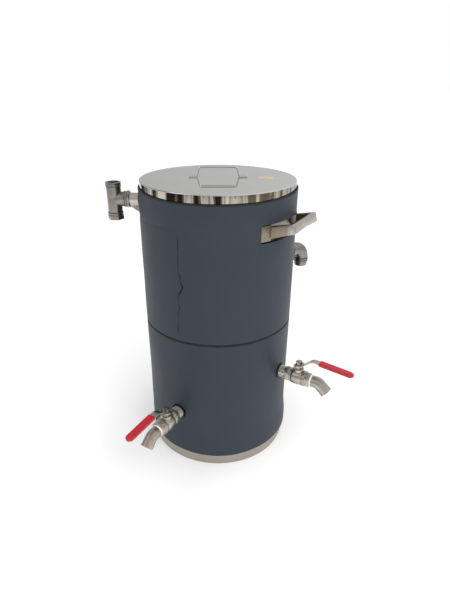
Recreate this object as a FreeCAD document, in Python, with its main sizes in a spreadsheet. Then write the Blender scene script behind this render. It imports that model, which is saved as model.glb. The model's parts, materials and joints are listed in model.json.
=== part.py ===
import FreeCAD, Part
import math
import os
import re
import Sketcher

# Insulated stainless pot with a loose lid, two lever ball valves, a tee and an elbow.
# Millimetres. +Z is up, the origin is the centre of the base, and +X runs through the
# right side handle and the valve below it.

DIMENSIONS = [
    # pot shell, base plate and foot band
    ("pot_radius", 163.0), ("pot_wall", 1.2), ("pot_floor", 6.0),
    ("rim_height", 640.1), ("rim_bead", 1.6), ("plate_radius", 148.0),
    ("band_radius", 167.4), ("band_height", 25.0), ("sheet", 1.5),
    # foam sleeves
    ("foam_inner", 163.3), ("foam_outer", 170.0), ("foam_seam", 329.4), ("foam_top", 625.0),
    ("foam_gap", 0.3), ("port_hole", 18.5), ("slot_side", 81.5), ("slot_low", 543.3), ("slot_high", 580.0),
    # lid, its strap handle and its sticker
    ("lid_radius", 166.4), ("lid_plate", 1.0), ("skirt_wall", 0.9), ("lid_top", 643.0), ("skirt_low", 625.5),
    ("lid_round", 2.4), ("strap_turn", 32.5), ("strap_x", -4.8), ("strap_y", 7.6), ("strap_width", 22.0),
    ("strap_sheet", 2.0), ("strap_rise", 22.0), ("strap_half", 62.0), ("strap_foot", 43.5),
    ("strap_top", 40.5), ("strap_bend_out", 7.0), ("strap_bend_in", 5.0), ("strap_crease", 1.8),
    ("sticker_radius", 16.0), ("sticker_x", 88.4), ("sticker_y", 49.4), ("sticker_sheet", 0.2),
    # side handles: a channel bent into a loop that rises outward, flanges turned in
    ("handle_height", 562.6), ("handle_tilt", 16.0), ("handle_pivot", 158.0), ("leg_root", 118.0),
    ("leg_start", 162.0), ("leg_half", 12.0), ("leg_spread", 3.5), ("grip_face", 208.0), ("grip_half", 58.0),
    ("channel_depth", 9.0), ("corner_half", 9.8), ("waist_half", 8.2),
    ("foot_face", 170.8), ("foot_start", 20.0), ("foot_end", 28.4), ("foot_half", 15.9),
    # ports: direction and height of each, and how far each valve and spout is rolled on its pipe
    ("valve_a_turn", -90.0), ("valve_a_height", 139.5), ("valve_a_roll", -3.0), ("spout_a_roll", 0.0),
    ("valve_b_turn", 0.0), ("valve_b_height", 215.4), ("valve_b_roll", 0.0), ("spout_b_roll", 0.0),
    ("tee_turn", -149.0), ("tee_height", 596.0), ("elbow_turn", 62.5), ("elbow_height", 444.0),
    # three-quarter inch pipe thread, its sockets and nipples, and the half inch bushes
    ("thread", 13.1), ("thread_bore", 9.5), ("thread_minor", 12.1), ("thread_length", 12.0),
    ("socket_radius", 16.0), ("socket_in", 150.0), ("socket_out", 171.5), ("nipple_radius", 13.5),
    ("bush_flats", 30.0), ("bush_minor", 9.3),
    # ball valve
    ("valve_start", 187.0), ("stem_reach", 217.0), ("barrel_radius", 18.0), ("barrel_start", 202.0),
    ("barrel_end", 233.0), ("cavity", 14.6), ("cavity_start", 203.0), ("body_flats", 31.0),
    ("inlet_neck", 15.0), ("cap_flats", 31.0), ("cap_flange", 17.8), ("cap_flange_width", 3.5),
    ("cap_end", 247.5), ("cap_seat", 2.0), ("ball_radius", 13.6), ("ball_bore", 8.5),
    ("seat_clear", 0.06), ("seat_outer", 14.4), ("seat_width", 3.8),
    ("boss_radius", 9.5), ("pad_radius", 12.0), ("pad_low", 19.5), ("pad_top", 23.5),
    ("stem_radius", 5.5), ("stem_fit", 0.05), ("packing_radius", 8.0), ("packing_low", 16.6),
    ("gland_flats", 17.0), ("gland_top", 29.0), ("gland_nose", 1.5),
    ("tang_half", 4.5), ("tang_width", 4.0), ("tang_low", 11.0), ("stem_low", 14.0),
    ("lever_low", 31.5), ("lever_sheet", 2.2), ("lever_width", 14.0), ("root_radius", 12.0),
    ("stud_radius", 4.0), ("stud_top", 41.5), ("washer_radius", 7.4), ("washer_top", 35.1),
    ("nut_flats", 13.0), ("nut_top", 40.5), ("slope_start", 9.5), ("knee_reach", 27.0), ("knee_low", 47.5),
    ("kink_reach", 35.4), ("kink_low", 51.3), ("tip_reach", 119.0), ("tip_low", 45.3),
    ("post_radius", 2.0), ("post_ring", 10.6), ("post_angle", 222.0),
    ("notch_start", 119.0), ("notch_sweep", 116.0), ("notch_inner", 8.3),
    ("sleeve_start", 47.5), ("sleeve_length", 77.5), ("sleeve_width", 18.0), ("sleeve_depth", 8.4),
    ("sleeve_round", 3.8), ("slip", 0.1),
    # thread tape and outlet spout
    ("tape_radius", 13.9), ("tape_width", 3.2), ("spout_neck", 13.3), ("spout_radius", 13.5),
    ("spout_bore", 11.2), ("spout_bend_start", 256.0), ("spout_bend", 28.0), ("spout_angle", 42.0),
    ("spout_mouth", 15.5), ("mouth_radius", 14.0),
    # tee and elbow
    ("bead_width", 6.0), ("mouth_depth", 15.0),
    ("tee_reach", 225.0), ("tee_half", 36.5), ("tee_radius", 15.4), ("tee_bead", 15.9), ("tee_cavity", 12.6),
    ("branch_start", 196.0), ("branch_radius", 15.6), ("branch_bead", 16.6),
    ("lock_flats", 33.0), ("lock_width", 5.5), ("lock_chamfer", 2.0), ("tee_bush_hex", 7.0),
    ("elbow_reach", 246.0), ("elbow_inlet", 210.0), ("elbow_bend", 21.0), ("elbow_drop", 33.0),
    ("elbow_radius", 17.2), ("elbow_bead", 17.8), ("elbow_bush_hex", 12.0),
]

doc = FreeCAD.newDocument("insulated_pot")
sheet = doc.addObject("Spreadsheet::Sheet", "Dims")
for row, (alias, number) in enumerate(DIMENSIONS, start=1):
    sheet.set(f"A{row}", alias)
    sheet.set(f"B{row}", str(number))
    sheet.setAlias(f"B{row}", alias)
doc.recompute()
ALIASES = {alias for alias, number in DIMENSIONS}
PIECES = []


# ---------------------------------------------------------------- expressions and shared steps

def full(text):
    """An expression in plain alias names, with the sheet's name put before each alias."""
    return re.sub(r"[a-z_]+", lambda word: "Dims." + word[0] if word[0] in ALIASES else word[0], text)


def worth(text):
    return float(sheet.evalExpression(full(text)))


def bind(item, **sizes):
    for name, text in sizes.items():
        item.setExpression(name.replace("_", "."), full(text))
    return item


def piece(item, label):
    """Name a finished sub-part: its label is its node and its file."""
    item.Label = label
    PIECES.append(item)
    return item


def set_in(item, where):
    item.setExpression("Placement", full(where))
    return item


def at_port(port, roll="0", reach="0", lay=""):
    """Placement of a fitting whose local X points out of the pot at a port, local Z up."""
    spot = f"{reach}*cos({port}_turn);{reach}*sin({port}_turn);{port}_height"
    return f"placement(vector({spot});rotationz({port}_turn)*rotationx({roll}){lay})"


def shifted(x="0", y="0", z="0", lay="rotationz(0)"):
    return f"placement(vector({x};{y};{z});{lay})"


LAID_OUT = "rotationy(90)"


def sketch_on(body, name, role):
    sketch = body.newObject("Sketcher::SketchObject", name)
    plane = next(one for one in body.Origin.OriginFeatures if one.Role == role)
    sketch.AttachmentSupport = [(plane, "")]
    sketch.MapMode = "FlatFace"
    return sketch


def fix_point(sketch, edge, end, x_text, y_text):
    """Hold one end of an edge at two expressions, measured from the sketch's origin."""
    for kind, axis, text in (("DistanceX", -2, x_text), ("DistanceY", -1, y_text)):
        if abs(worth(text)) < 1e-9:
            sketch.addConstraint(Sketcher.Constraint("PointOnObject", edge, end, axis))
        else:
            number = sketch.addConstraint(Sketcher.Constraint(kind, -1, 1, edge, end, worth(text)))
            sketch.setExpression(f"Constraints[{number}]", full(text))


def polygon(sketch, corners):
    """A closed outline through corners, each a pair of expressions."""
    spots = [FreeCAD.Vector(worth(x), worth(y), 0) for x, y in corners]
    count = len(spots)
    for index in range(count):
        sketch.addGeometry(Part.LineSegment(spots[index], spots[(index + 1) % count]), False)
    for index in range(count):
        sketch.addConstraint(Sketcher.Constraint("Coincident", index, 2, (index + 1) % count, 1))
    for index, (x_text, y_text) in enumerate(corners):
        fix_point(sketch, index, 1, x_text, y_text)


def turned(name, corners):
    """A body turned about its own Z axis from corners given as (radius, height)."""
    body = doc.addObject("PartDesign::Body", name)
    sketch = sketch_on(body, name + "_outline", "XZ_Plane")
    polygon(sketch, corners)
    solid = body.newObject("PartDesign::Revolution", name + "_turn")
    solid.Profile = sketch
    solid.ReferenceAxis = (sketch, ["V_Axis"])
    solid.Angle = 360
    return body


def padded(name, role, corners, length):
    """A body pushed out evenly to both sides of an origin plane."""
    body = doc.addObject("PartDesign::Body", name)
    sketch = sketch_on(body, name + "_outline", role)
    polygon(sketch, corners)
    solid = body.newObject("PartDesign::Pad", name + "_pad")
    solid.Profile = sketch
    solid.Midplane = True
    bind(solid, Length=length)
    return body


def edge_names(shape, wanted):
    return [f"Edge{number}" for number, edge in enumerate(shape.Edges, start=1) if wanted(edge)]


def circle_at(radius, height):
    """Test for a round edge about the body's Z axis."""
    def wanted(edge):
        curve = edge.Curve
        return (isinstance(curve, Part.Circle) and abs(curve.Radius - worth(radius)) < 1e-3
                and abs(curve.Center.z - worth(height)) < 1e-3)
    return wanted


def eased(body, radius, wanted):
    """Round the edges of a body's last feature that pass a test."""
    doc.recompute()
    last = body.Tip
    names = edge_names(last.Shape, wanted)
    assert names, f"no edge to round on {body.Name}"
    fillet = body.newObject("PartDesign::Fillet", body.Name + "_round")
    fillet.Base = (last, names)
    bind(fillet, Radius=radius)
    return body


def rod(name, radius, length, where):
    item = doc.addObject("Part::Cylinder", name)
    bind(item, Radius=radius, Height=length)
    return set_in(item, where)


def block(name, length, width, height, where):
    item = doc.addObject("Part::Box", name)
    bind(item, Length=length, Width=width, Height=height)
    return set_in(item, where)


def hexagon(name, flats, length, where):
    item = doc.addObject("Part::Prism", name)
    item.Polygon = 6
    bind(item, Circumradius=f"{flats}/2/cos(30)", Height=length)
    return set_in(item, where)


def ball_of(name, radius, where):
    item = doc.addObject("Part::Sphere", name)
    bind(item, Radius=radius)
    return set_in(item, where)


def joined(name, items):
    item = doc.addObject("Part::MultiFuse", name)
    item.Shapes = items
    item.Refine = True
    return item


def shared(name, items):
    item = doc.addObject("Part::MultiCommon", name)
    item.Shapes = items
    return item


def cut_from(name, base, tools):
    tool = tools[0] if len(tools) == 1 else joined(name + "_tools", tools)
    item = doc.addObject("Part::Cut", name)
    item.Base = base
    item.Tool = tool
    return item


# ---------------------------------------------------------------- pot, base plate and foot band

PORTS = ("valve_a", "valve_b", "tee", "elbow")


def port_tools(name, ports, radius):
    """Round cutters from the pot's axis out through the wall, one for each port."""
    return [rod(f"{name}_{port}_cutter", radius, "foam_outer*1.1", at_port(port, lay="*" + LAID_OUT))
            for port in ports]


def pot_shell():
    """Rolled and welded wall with a bead at the rim, and the flat floor disc welded into its foot."""
    wall = turned("wall", [("pot_radius-pot_wall", "pot_floor"), ("pot_radius", "pot_floor"),
                           ("pot_radius", "rim_height"), ("pot_radius-pot_wall", "rim_height")])
    bead = doc.addObject("Part::Torus", "rim")
    bind(bead, Radius1="pot_radius", Radius2="rim_bead")
    set_in(bead, shifted(z="rim_height"))
    whole = joined("wall_with_rim", [wall, bead])
    piece(cut_from("pot_shell_cut", whole, port_tools("shell", PORTS, "socket_radius")), "pot_shell")
    disc = turned("disc", [("0", "pot_floor"), ("pot_radius-pot_wall", "pot_floor"),
                           ("pot_radius-pot_wall", "pot_floor+pot_wall"), ("0", "pot_floor+pot_wall")])
    piece(disc, "floor_disc")


def base_and_band():
    plate = turned("plate", [("0", "0"), ("plate_radius", "0"), ("plate_radius", "pot_floor"),
                             ("0", "pot_floor")])
    eased(plate, "sheet", circle_at("plate_radius", "0"))
    piece(plate, "base_plate")
    band = turned("band", [("band_radius-sheet", "0"), ("band_radius", "0"), ("band_radius", "band_height"),
                           ("pot_radius", "band_height"), ("pot_radius", "band_height-sheet"),
                           ("band_radius-sheet", "band_height-sheet")])
    piece(band, "foot_band")


def sockets():
    """Threaded half couplings welded through the wall."""
    for port in PORTS:
        tube = turned(f"{port}_coupling", [("thread", "socket_in"), ("socket_radius", "socket_in"),
                                           ("socket_radius", "socket_out"), ("thread", "socket_out")])
        piece(set_in(tube, at_port(port, lay="*" + LAID_OUT)), f"port_socket_{port}")


# ---------------------------------------------------------------- foam sleeves

def foam_sleeves():
    """Two foam sleeves around the shell, butted at a seam, cut out for the ports and the handles."""
    lower = turned("lower_foam", [("foam_inner", "band_height+foam_gap"),
                                  ("foam_outer", "band_height+foam_gap"),
                                  ("foam_outer", "foam_seam-foam_gap"), ("foam_inner", "foam_seam-foam_gap")])
    piece(cut_from("lower_foam_cut", lower, port_tools("low", ("valve_a", "valve_b"), "port_hole")),
          "insulation_lower")
    upper = turned("upper_foam", [("foam_inner", "foam_seam"), ("foam_outer", "foam_seam"),
                                  ("foam_outer", "foam_top"), ("foam_inner", "foam_top")])
    slots = [block(f"slot_{side}", "foam_outer", "2*slot_side", "slot_high-slot_low",
                   f"placement(vector(0;0;slot_low);rotationz({turn}))"
                   "*placement(vector(pot_radius/2;-slot_side;0);rotationz(0))")
             for side, turn in (("right", "0"), ("left", "180"))]
    piece(cut_from("upper_foam_cut", upper, port_tools("high", ("tee", "elbow"), "port_hole") + slots),
          "insulation_upper")


# ---------------------------------------------------------------- side handles

def channel_blank(name, inset):
    """The loop's outside as a solid, or, inset by the sheet, the space inside its channel.

    It is drawn level and then tilted up about a line across the pot's wall.
    """
    face = f"(grip_face-{inset})"
    half = f"(grip_half-{inset})"
    spread = f"({half}+leg_spread*1.5)"
    outline = [("leg_root", spread), (face, half), (face, f"-{half}"), ("leg_root", f"-{spread}")]
    if inset == "0":
        outline += [("leg_root", f"-({spread}-channel_depth)"),
                    ("(grip_face-channel_depth)", "-(grip_half-channel_depth)"),
                    ("(grip_face-channel_depth)", "grip_half-channel_depth"),
                    ("leg_root", f"{spread}-channel_depth")]
    loop = padded(f"{name}_loop", "XY_Plane", outline, "3*foot_half")
    leg = f"(leg_half-{inset})"
    corner = f"(corner_half-{inset})"
    side = padded(f"{name}_side", "XZ_Plane",
                  [("leg_root", leg), ("leg_start", leg), ("grip_face-channel_depth", corner),
                   ("grip_face+1", corner), ("grip_face+1", f"-{corner}"),
                   ("grip_face-channel_depth", f"-{corner}"), ("leg_start", f"-{leg}"),
                   ("leg_root", f"-{leg}")], "4*grip_half")
    inner = "(grip_half-channel_depth)"
    middle = f"(waist_half-{inset})"
    between = f"({corner}+3*{middle})/4"
    waist = padded(f"{name}_waist", "YZ_Plane",
                   [("-2*grip_half", "2*foot_half"), (f"-{inner}", "2*foot_half"), (f"-{inner}", corner),
                    (f"-{inner}/2", between), ("0", middle), (f"{inner}/2", between), (inner, corner),
                    (inner, "2*foot_half"), ("2*grip_half", "2*foot_half"), ("2*grip_half", "-2*foot_half"),
                    (inner, "-2*foot_half"), (inner, f"-{corner}"), (f"{inner}/2", f"-{between}"),
                    ("0", f"-{middle}"), (f"-{inner}/2", f"-{between}"), (f"-{inner}", f"-{corner}"),
                    (f"-{inner}", "-2*foot_half"), ("-2*grip_half", "-2*foot_half")], "6*grip_face")
    return set_in(shared(f"{name}_blank", [loop, side, waist]),
                  "placement(vector(handle_pivot;0;0);rotationy(-handle_tilt))"
                  "*placement(vector(-handle_pivot;0;0);rotationz(0))")


def foot_sector(name, radius, inset, turn):
    item = doc.addObject("Part::Cylinder", name)
    bind(item, Radius=radius, Height=f"2*(foot_half-{inset})", Angle=f"foot_end-foot_start-{inset}*0.4")
    return set_in(item, shifted(z=f"-(foot_half-{inset})", lay=f"rotationz({turn})"))


def side_handle(side, turn):
    """Pressed channel loop welded to the wall by two feet; its flanges turn in to the hand."""
    name = f"handle_{side}"
    outside = joined(f"{name}_outside", [channel_blank(f"{name}_out", "0"),
                                         foot_sector(f"{name}_foot_one", "foot_face", "0", "foot_start"),
                                         foot_sector(f"{name}_foot_two", "foot_face", "0", "-foot_end")])
    wall = rod(f"{name}_wall", "pot_radius", "4*foot_half", shifted(z="-2*foot_half"))
    inside = joined(f"{name}_inside", [channel_blank(f"{name}_in", "sheet"),
                                       foot_sector(f"{name}_hollow_one", "foot_face-sheet", "sheet",
                                                   "foot_start-1"),
                                       foot_sector(f"{name}_hollow_two", "foot_face-sheet", "sheet",
                                                   "-foot_end+sheet*0.4+1-0.4")])
    shell = cut_from(f"{name}_shell", outside, [wall, inside])
    set_in(shell, f"placement(vector(0;0;handle_height);rotationz({turn}))")
    piece(shell, f"side_handle_{side}")


# ---------------------------------------------------------------- lid

def lid():
    """Flat lid with a deep skirt, a strap handle welded on top and a plain round sticker."""
    cover = turned("cover", [("0", "lid_top-lid_plate"), ("lid_radius-skirt_wall", "lid_top-lid_plate"),
                             ("lid_radius-skirt_wall", "skirt_low"), ("lid_radius", "skirt_low"),
                             ("lid_radius", "lid_top"), ("0", "lid_top")])
    eased(cover, "lid_round", circle_at("lid_radius", "lid_top"))
    eased(cover, "lid_round-skirt_wall", circle_at("lid_radius-skirt_wall", "lid_top-lid_plate"))
    piece(cover, "lid")
    top = "(lid_top+strap_rise)"
    strap = padded("strap", "XZ_Plane", [
        ("-strap_half", "lid_top"), ("-strap_foot", "lid_top"),
        ("-strap_top+strap_sheet", f"{top}-strap_sheet"), ("strap_top-strap_sheet", f"{top}-strap_sheet"),
        ("strap_foot", "lid_top"), ("strap_half", "lid_top"), ("strap_half", "lid_top+strap_sheet"),
        ("strap_foot+strap_sheet*0.78", "lid_top+strap_sheet"), ("strap_top-strap_sheet*0.22", top),
        ("-strap_top+strap_sheet*0.22", top), ("-strap_foot-strap_sheet*0.78", "lid_top+strap_sheet"),
        ("-strap_half", "lid_top+strap_sheet")], "strap_width")

    def crease_at(height):
        def wanted(edge):
            box = edge.BoundBox
            return (abs(box.YLength - worth("strap_width")) < 1e-3
                    and abs(box.Center.z - worth(height)) < 1e-3
                    and abs(box.Center.x) < worth("strap_half-strap_sheet"))
        return wanted
    eased(strap, "strap_bend_out", crease_at(top))
    eased(strap, "strap_bend_in", crease_at(f"{top}-strap_sheet"))
    eased(strap, "strap_crease", crease_at("lid_top+strap_sheet"))
    piece(set_in(strap, shifted("strap_x", "strap_y", "0", "rotationz(strap_turn)")), "lid_handle")
    sticker = rod("sticker", "sticker_radius", "sticker_sheet", shifted("sticker_x", "sticker_y", "lid_top"))
    piece(sticker, "lid_sticker")


# ---------------------------------------------------------------- ball valves

def port_nipple(port, name, end, grip):
    """Polished round nipple: plain between the socket and the fitting, threaded into both."""
    barrel = turned(f"{port}_nipple", [
        ("thread_bore", "socket_out-thread_length"), ("thread", "socket_out-thread_length"),
        ("thread", "socket_out"), ("nipple_radius", "socket_out"), ("nipple_radius", end), ("thread", end),
        ("thread", f"{end}+{grip}"), ("thread_bore", f"{end}+{grip}")])
    piece(set_in(barrel, at_port(port, lay="*" + LAID_OUT)), name)


def valve_body(port, roll):
    """Cast body: hex inlet, round barrel with the ball's cavity, stem boss with a stop post."""
    name = f"{port}_body"
    shell = turned(f"{name}_barrel", [
        ("thread", "valve_start"), ("inlet_neck", "valve_start"),
        ("inlet_neck", "barrel_start-cap_flange_width"),
        ("barrel_radius", "barrel_start"), ("barrel_radius", "barrel_end"), ("cavity", "barrel_end"),
        ("cavity", "cavity_start"), ("thread_bore", "cavity_start"),
        ("thread_bore", "valve_start+thread_length"), ("thread", "valve_start+thread_length")])
    eased(shell, "sheet", circle_at("barrel_radius", "barrel_start"))
    set_in(shell, shifted(lay=LAID_OUT))
    flats = hexagon(f"{name}_flats", "body_flats", "thread_length", shifted(x="valve_start", lay=LAID_OUT))
    flats_bore = rod(f"{name}_flats_bore", "thread", "valve_start*1.2", shifted(lay=LAID_OUT))
    collar = cut_from(f"{name}_collar", flats, [flats_bore])
    boss = rod(f"{name}_boss", "boss_radius", "pad_top-packing_low", shifted(x="stem_reach", z="packing_low"))
    pad = rod(f"{name}_pad", "pad_radius", "pad_top-pad_low", shifted(x="stem_reach", z="pad_low"))
    post = rod(f"{name}_post", "post_radius", "lever_low+lever_sheet-pad_low",
               shifted("stem_reach+post_ring*cos(post_angle)", "post_ring*sin(post_angle)", "pad_low"))
    stem_way = rod(f"{name}_stem_way", "stem_radius+stem_fit", "pad_top",
                   shifted(x="stem_reach", z="ball_bore"))
    seal_way = rod(f"{name}_seal_way", "packing_radius", "pad_top", shifted(x="stem_reach", z="packing_low"))
    whole = cut_from(f"{name}_cast", joined(f"{name}_solid", [shell, collar, boss, pad, post]),
                     [stem_way, seal_way])
    piece(set_in(whole, at_port(port, roll)), f"valve_body_{port[-1]}")


def valve_cap(port, roll):
    """End cap screwed into the body: flange, hexagon and the outlet thread."""
    name = f"{port}_cap"
    hex_start = "(barrel_end+cap_flange_width)"
    ring = turned(f"{name}_ring", [
        ("thread_bore", "barrel_end-cap_seat"), ("cavity", "barrel_end-cap_seat"), ("cavity", "barrel_end"),
        ("cap_flange", "barrel_end"), ("cap_flange", hex_start), ("cap_flats/2", hex_start),
        ("cap_flats/2", "cap_end"), ("thread", "cap_end"), ("thread", "cap_end-thread_length"),
        ("thread_bore", "cap_end-thread_length")])
    eased(ring, "0.8", circle_at("cap_flange", hex_start))
    flats = hexagon(f"{name}_flats", "cap_flats", f"cap_end-{hex_start}-1", shifted(z=hex_start))
    bore = rod(f"{name}_bore", "thread+1", "cap_end", shifted(z="0"))
    whole = joined(name, [ring, cut_from(f"{name}_nut", flats, [bore])])
    piece(set_in(whole, at_port(port, roll, lay="*" + LAID_OUT)), f"valve_end_cap_{port[-1]}")


def seats(port, roll):
    """Two seat rings whose faces follow the ball with a running clearance."""
    name = f"{port}_seat"
    rings = [rod(f"{name}_ring_{end}", "seat_outer", "seat_width", shifted(z=start))
             for end, start in (("in", "cavity_start"), ("out", "barrel_end-cap_seat-seat_width"))]
    round_space = ball_of(f"{name}_space", "ball_radius+seat_clear", shifted(z="stem_reach"))
    bore = rod(f"{name}_bore", "ball_bore", "cap_end", shifted())
    whole = cut_from(name, joined(f"{name}_pair", rings), [round_space, bore])
    piece(set_in(whole, at_port(port, roll, lay="*" + LAID_OUT)), f"seat_rings_{port[-1]}")


def stem_seals(port, roll):
    """Packing ring in the boss and the nut that presses it down."""
    bore = "stem_radius+stem_fit"
    packing_top = "pad_top-gland_nose"
    packing = turned(f"{port}_packing", [(bore, "packing_low"), ("packing_radius", "packing_low"),
                                         ("packing_radius", packing_top), (bore, packing_top)])
    piece(set_in(packing, at_port(port, roll, "stem_reach")), f"stem_packing_{port[-1]}")
    nose = rod(f"{port}_gland_nose", "packing_radius", "gland_nose", shifted(z="pad_top-gland_nose"))
    flats = hexagon(f"{port}_gland_flats", "gland_flats", "gland_top-pad_top", shifted(z="pad_top"))
    way = rod(f"{port}_gland_way", bore, "gland_top", shifted(z="packing_low"))
    keep_off = rod(f"{port}_gland_notch", "post_radius+0.4", "gland_top",
                   shifted("post_ring*cos(post_angle)", "post_ring*sin(post_angle)", "0"))
    gland = cut_from(f"{port}_gland", joined(f"{port}_gland_solid", [nose, flats]), [way, keep_off])
    piece(set_in(gland, at_port(port, roll, "stem_reach")), f"packing_nut_{port[-1]}")


def ball_and_stem(port, roll):
    """Bored ball turned by the tang of the stem; open when the bore lies along the pipe."""
    tang = block(f"{port}_tang", "2*tang_half", "tang_width", "stem_low-tang_low",
                 shifted("-tang_half", "-tang_width/2", "tang_low"))
    slot = block(f"{port}_slot", "2*ball_radius", "tang_width", "ball_radius",
                 shifted("-ball_radius", "-tang_width/2", "tang_low"))
    bore = rod(f"{port}_way", "ball_bore", "4*ball_radius", shifted(x="-2*ball_radius", lay=LAID_OUT))
    ball = cut_from(f"{port}_ball", ball_of(f"{port}_globe", "ball_radius", shifted()), [bore, slot])
    piece(set_in(ball, at_port(port, roll, "stem_reach")), f"ball_{port[-1]}")
    spindle = turned(f"{port}_spindle", [("0", "stem_low"), ("stem_radius", "stem_low"),
                                         ("stem_radius", "lever_low"), ("stud_radius", "lever_low"),
                                         ("stud_radius", "stud_top"), ("0", "stud_top")])
    stem = joined(f"{port}_stem", [spindle, tang])
    piece(set_in(stem, at_port(port, roll, "stem_reach")), f"stem_{port[-1]}")


def lever(port, roll):
    """Bent strip lever with a stop notch, its sleeve, spring washer and nut."""
    name = f"{port}_lever"
    strip = padded(f"{name}_strip", "XZ_Plane", [
        ("0", "lever_low"), ("slope_start", "lever_low"),
        ("knee_reach", "knee_low"), ("kink_reach", "kink_low"),
        ("tip_reach", "tip_low"), ("tip_reach", "tip_low+lever_sheet"),
        ("kink_reach-lever_sheet*0.15", "kink_low+lever_sheet"),
        ("knee_reach-lever_sheet*0.5", "knee_low+lever_sheet*0.87"),
        ("slope_start-lever_sheet*0.37", "lever_low+lever_sheet"), ("0", "lever_low+lever_sheet")],
                   "lever_width")
    root = rod(f"{name}_root", "root_radius", "lever_sheet", shifted(z="lever_low"))
    eye = rod(f"{name}_eye", "stud_radius", "stud_top", shifted(z="gland_top"))
    notch = doc.addObject("Part::Cylinder", f"{name}_sector")
    bind(notch, Radius="root_radius*1.3", Height="stud_top", Angle="notch_sweep")
    set_in(notch, shifted(z="gland_top", lay="rotationz(notch_start)"))
    core = rod(f"{name}_core", "notch_inner", "2*stud_top", shifted(z="0"))
    blank = joined(f"{name}_blank", [strip, root])
    plate = cut_from(name, blank, [eye, cut_from(f"{name}_notch", notch, [core])])
    piece(set_in(plate, at_port(port, roll, "stem_reach")), f"lever_{port[-1]}")

    slope = "atan((kink_low-tip_low)/(tip_reach-kink_reach))"
    along = f"placement(vector(kink_reach;0;kink_low+lever_sheet/2);rotationy({slope}))"
    grip = padded(f"{name}_grip", "XY_Plane", [
        ("0", "-sleeve_width/2"), ("sleeve_length", "-sleeve_width/2"), ("sleeve_length", "sleeve_width/2"),
        ("0", "sleeve_width/2")], "sleeve_depth")

    def upright_end(edge):
        return (edge.BoundBox.ZLength > 1 and abs(edge.BoundBox.Center.x - worth("sleeve_length")) < 1e-3)

    def lengthwise(edge):
        box = edge.BoundBox
        return abs(abs(box.Center.z) - worth("sleeve_depth/2")) < 1e-3 and box.Center.x > 1
    eased(grip, "sleeve_width/2-0.5", upright_end)
    eased(grip, "sleeve_round", lengthwise)
    set_in(grip, f"{along}*placement(vector(sleeve_start-kink_reach;0;0);rotationz(0))")
    corner = "sleeve_start-kink_reach-5;-lever_width/2-slip;-lever_sheet/2-slip"
    pocket = block(f"{name}_pocket", "tip_reach-sleeve_start+slip+5", "lever_width+2*slip",
                   "lever_sheet+2*slip", f"{along}*placement(vector({corner});rotationz(0))")
    sleeve = cut_from(f"{name}_sleeve", grip, [pocket])
    piece(set_in(sleeve, at_port(port, roll, "stem_reach")), f"lever_sleeve_{port[-1]}")

    plate_top = "lever_low+lever_sheet"
    washer = turned(f"{name}_washer", [("stud_radius", plate_top), ("washer_radius", plate_top),
                                       ("washer_radius", "washer_top"), ("stud_radius", "washer_top")])
    piece(set_in(washer, at_port(port, roll, "stem_reach")), f"lever_washer_{port[-1]}")
    nut_flats = hexagon(f"{name}_nut_flats", "nut_flats", "nut_top-washer_top", shifted(z="washer_top"))
    nut_eye = rod(f"{name}_nut_eye", "stud_radius", "nut_top", shifted(z="gland_top"))
    nut = cut_from(f"{name}_nut", nut_flats, [nut_eye])
    piece(set_in(nut, at_port(port, roll, "stem_reach")), f"lever_nut_{port[-1]}")


def tape_and_spout(port, roll):
    """Ring of thread tape and the bent spout screwed in after it."""
    tape = turned(f"{port}_tape", [("thread", "cap_end"), ("tape_radius", "cap_end"),
                                   ("tape_radius", "cap_end+tape_width"), ("thread", "cap_end+tape_width")])
    piece(set_in(tape, at_port(port, roll, lay="*" + LAID_OUT)), f"thread_tape_{port[-1]}")

    name = f"{port}_spout"
    neck = turned(f"{name}_neck", [
        ("0", "cap_end-thread_length+1"), ("thread", "cap_end-thread_length+1"),
        ("thread", "cap_end+tape_width"), ("spout_neck", "cap_end+tape_width"),
        ("spout_radius", "spout_bend_start"), ("0", "spout_bend_start")])
    set_in(neck, shifted(lay=LAID_OUT))
    bend_at = ("placement(vector(spout_bend_start;0;-spout_bend);rotationx(90))"
               "*placement(vector(0;0;0);rotationz(90-spout_angle))")
    end_at = ("placement(vector(spout_bend_start;0;-spout_bend);rotationy(spout_angle))"
              "*placement(vector(0;0;spout_bend);rotationy(90))")

    def bend(part_name, radius):
        item = doc.addObject("Part::Torus", part_name)
        bind(item, Radius1="spout_bend", Radius2=radius, Angle3="spout_angle")
        return set_in(item, bend_at)
    end = doc.addObject("Part::Cone", f"{name}_end")
    bind(end, Radius1="spout_radius", Radius2="mouth_radius", Height="spout_mouth")
    set_in(end, end_at)
    solid = joined(f"{name}_solid", [neck, bend(f"{name}_bend", "spout_radius"), end])
    way_in = rod(f"{name}_way_in", "spout_bore", "cap_end",
                 shifted(x="spout_bend_start-cap_end", lay=LAID_OUT))
    way_out = rod(f"{name}_way_out", "spout_bore", "spout_mouth+1", end_at)
    spout = cut_from(name, solid, [way_in, bend(f"{name}_way_round", "spout_bore"), way_out])
    piece(set_in(spout, at_port(port, roll)), f"spout_{port[-1]}")


# ---------------------------------------------------------------- tee and elbow

def upright(name, radius, low, high, reach="0"):
    return rod(name, radius, f"{high}-({low})", shifted(x=reach, z=low))


def laid_out(name, radius, start, end):
    return rod(name, radius, f"{end}-({start})", shifted(x=start, lay=LAID_OUT))


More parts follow.
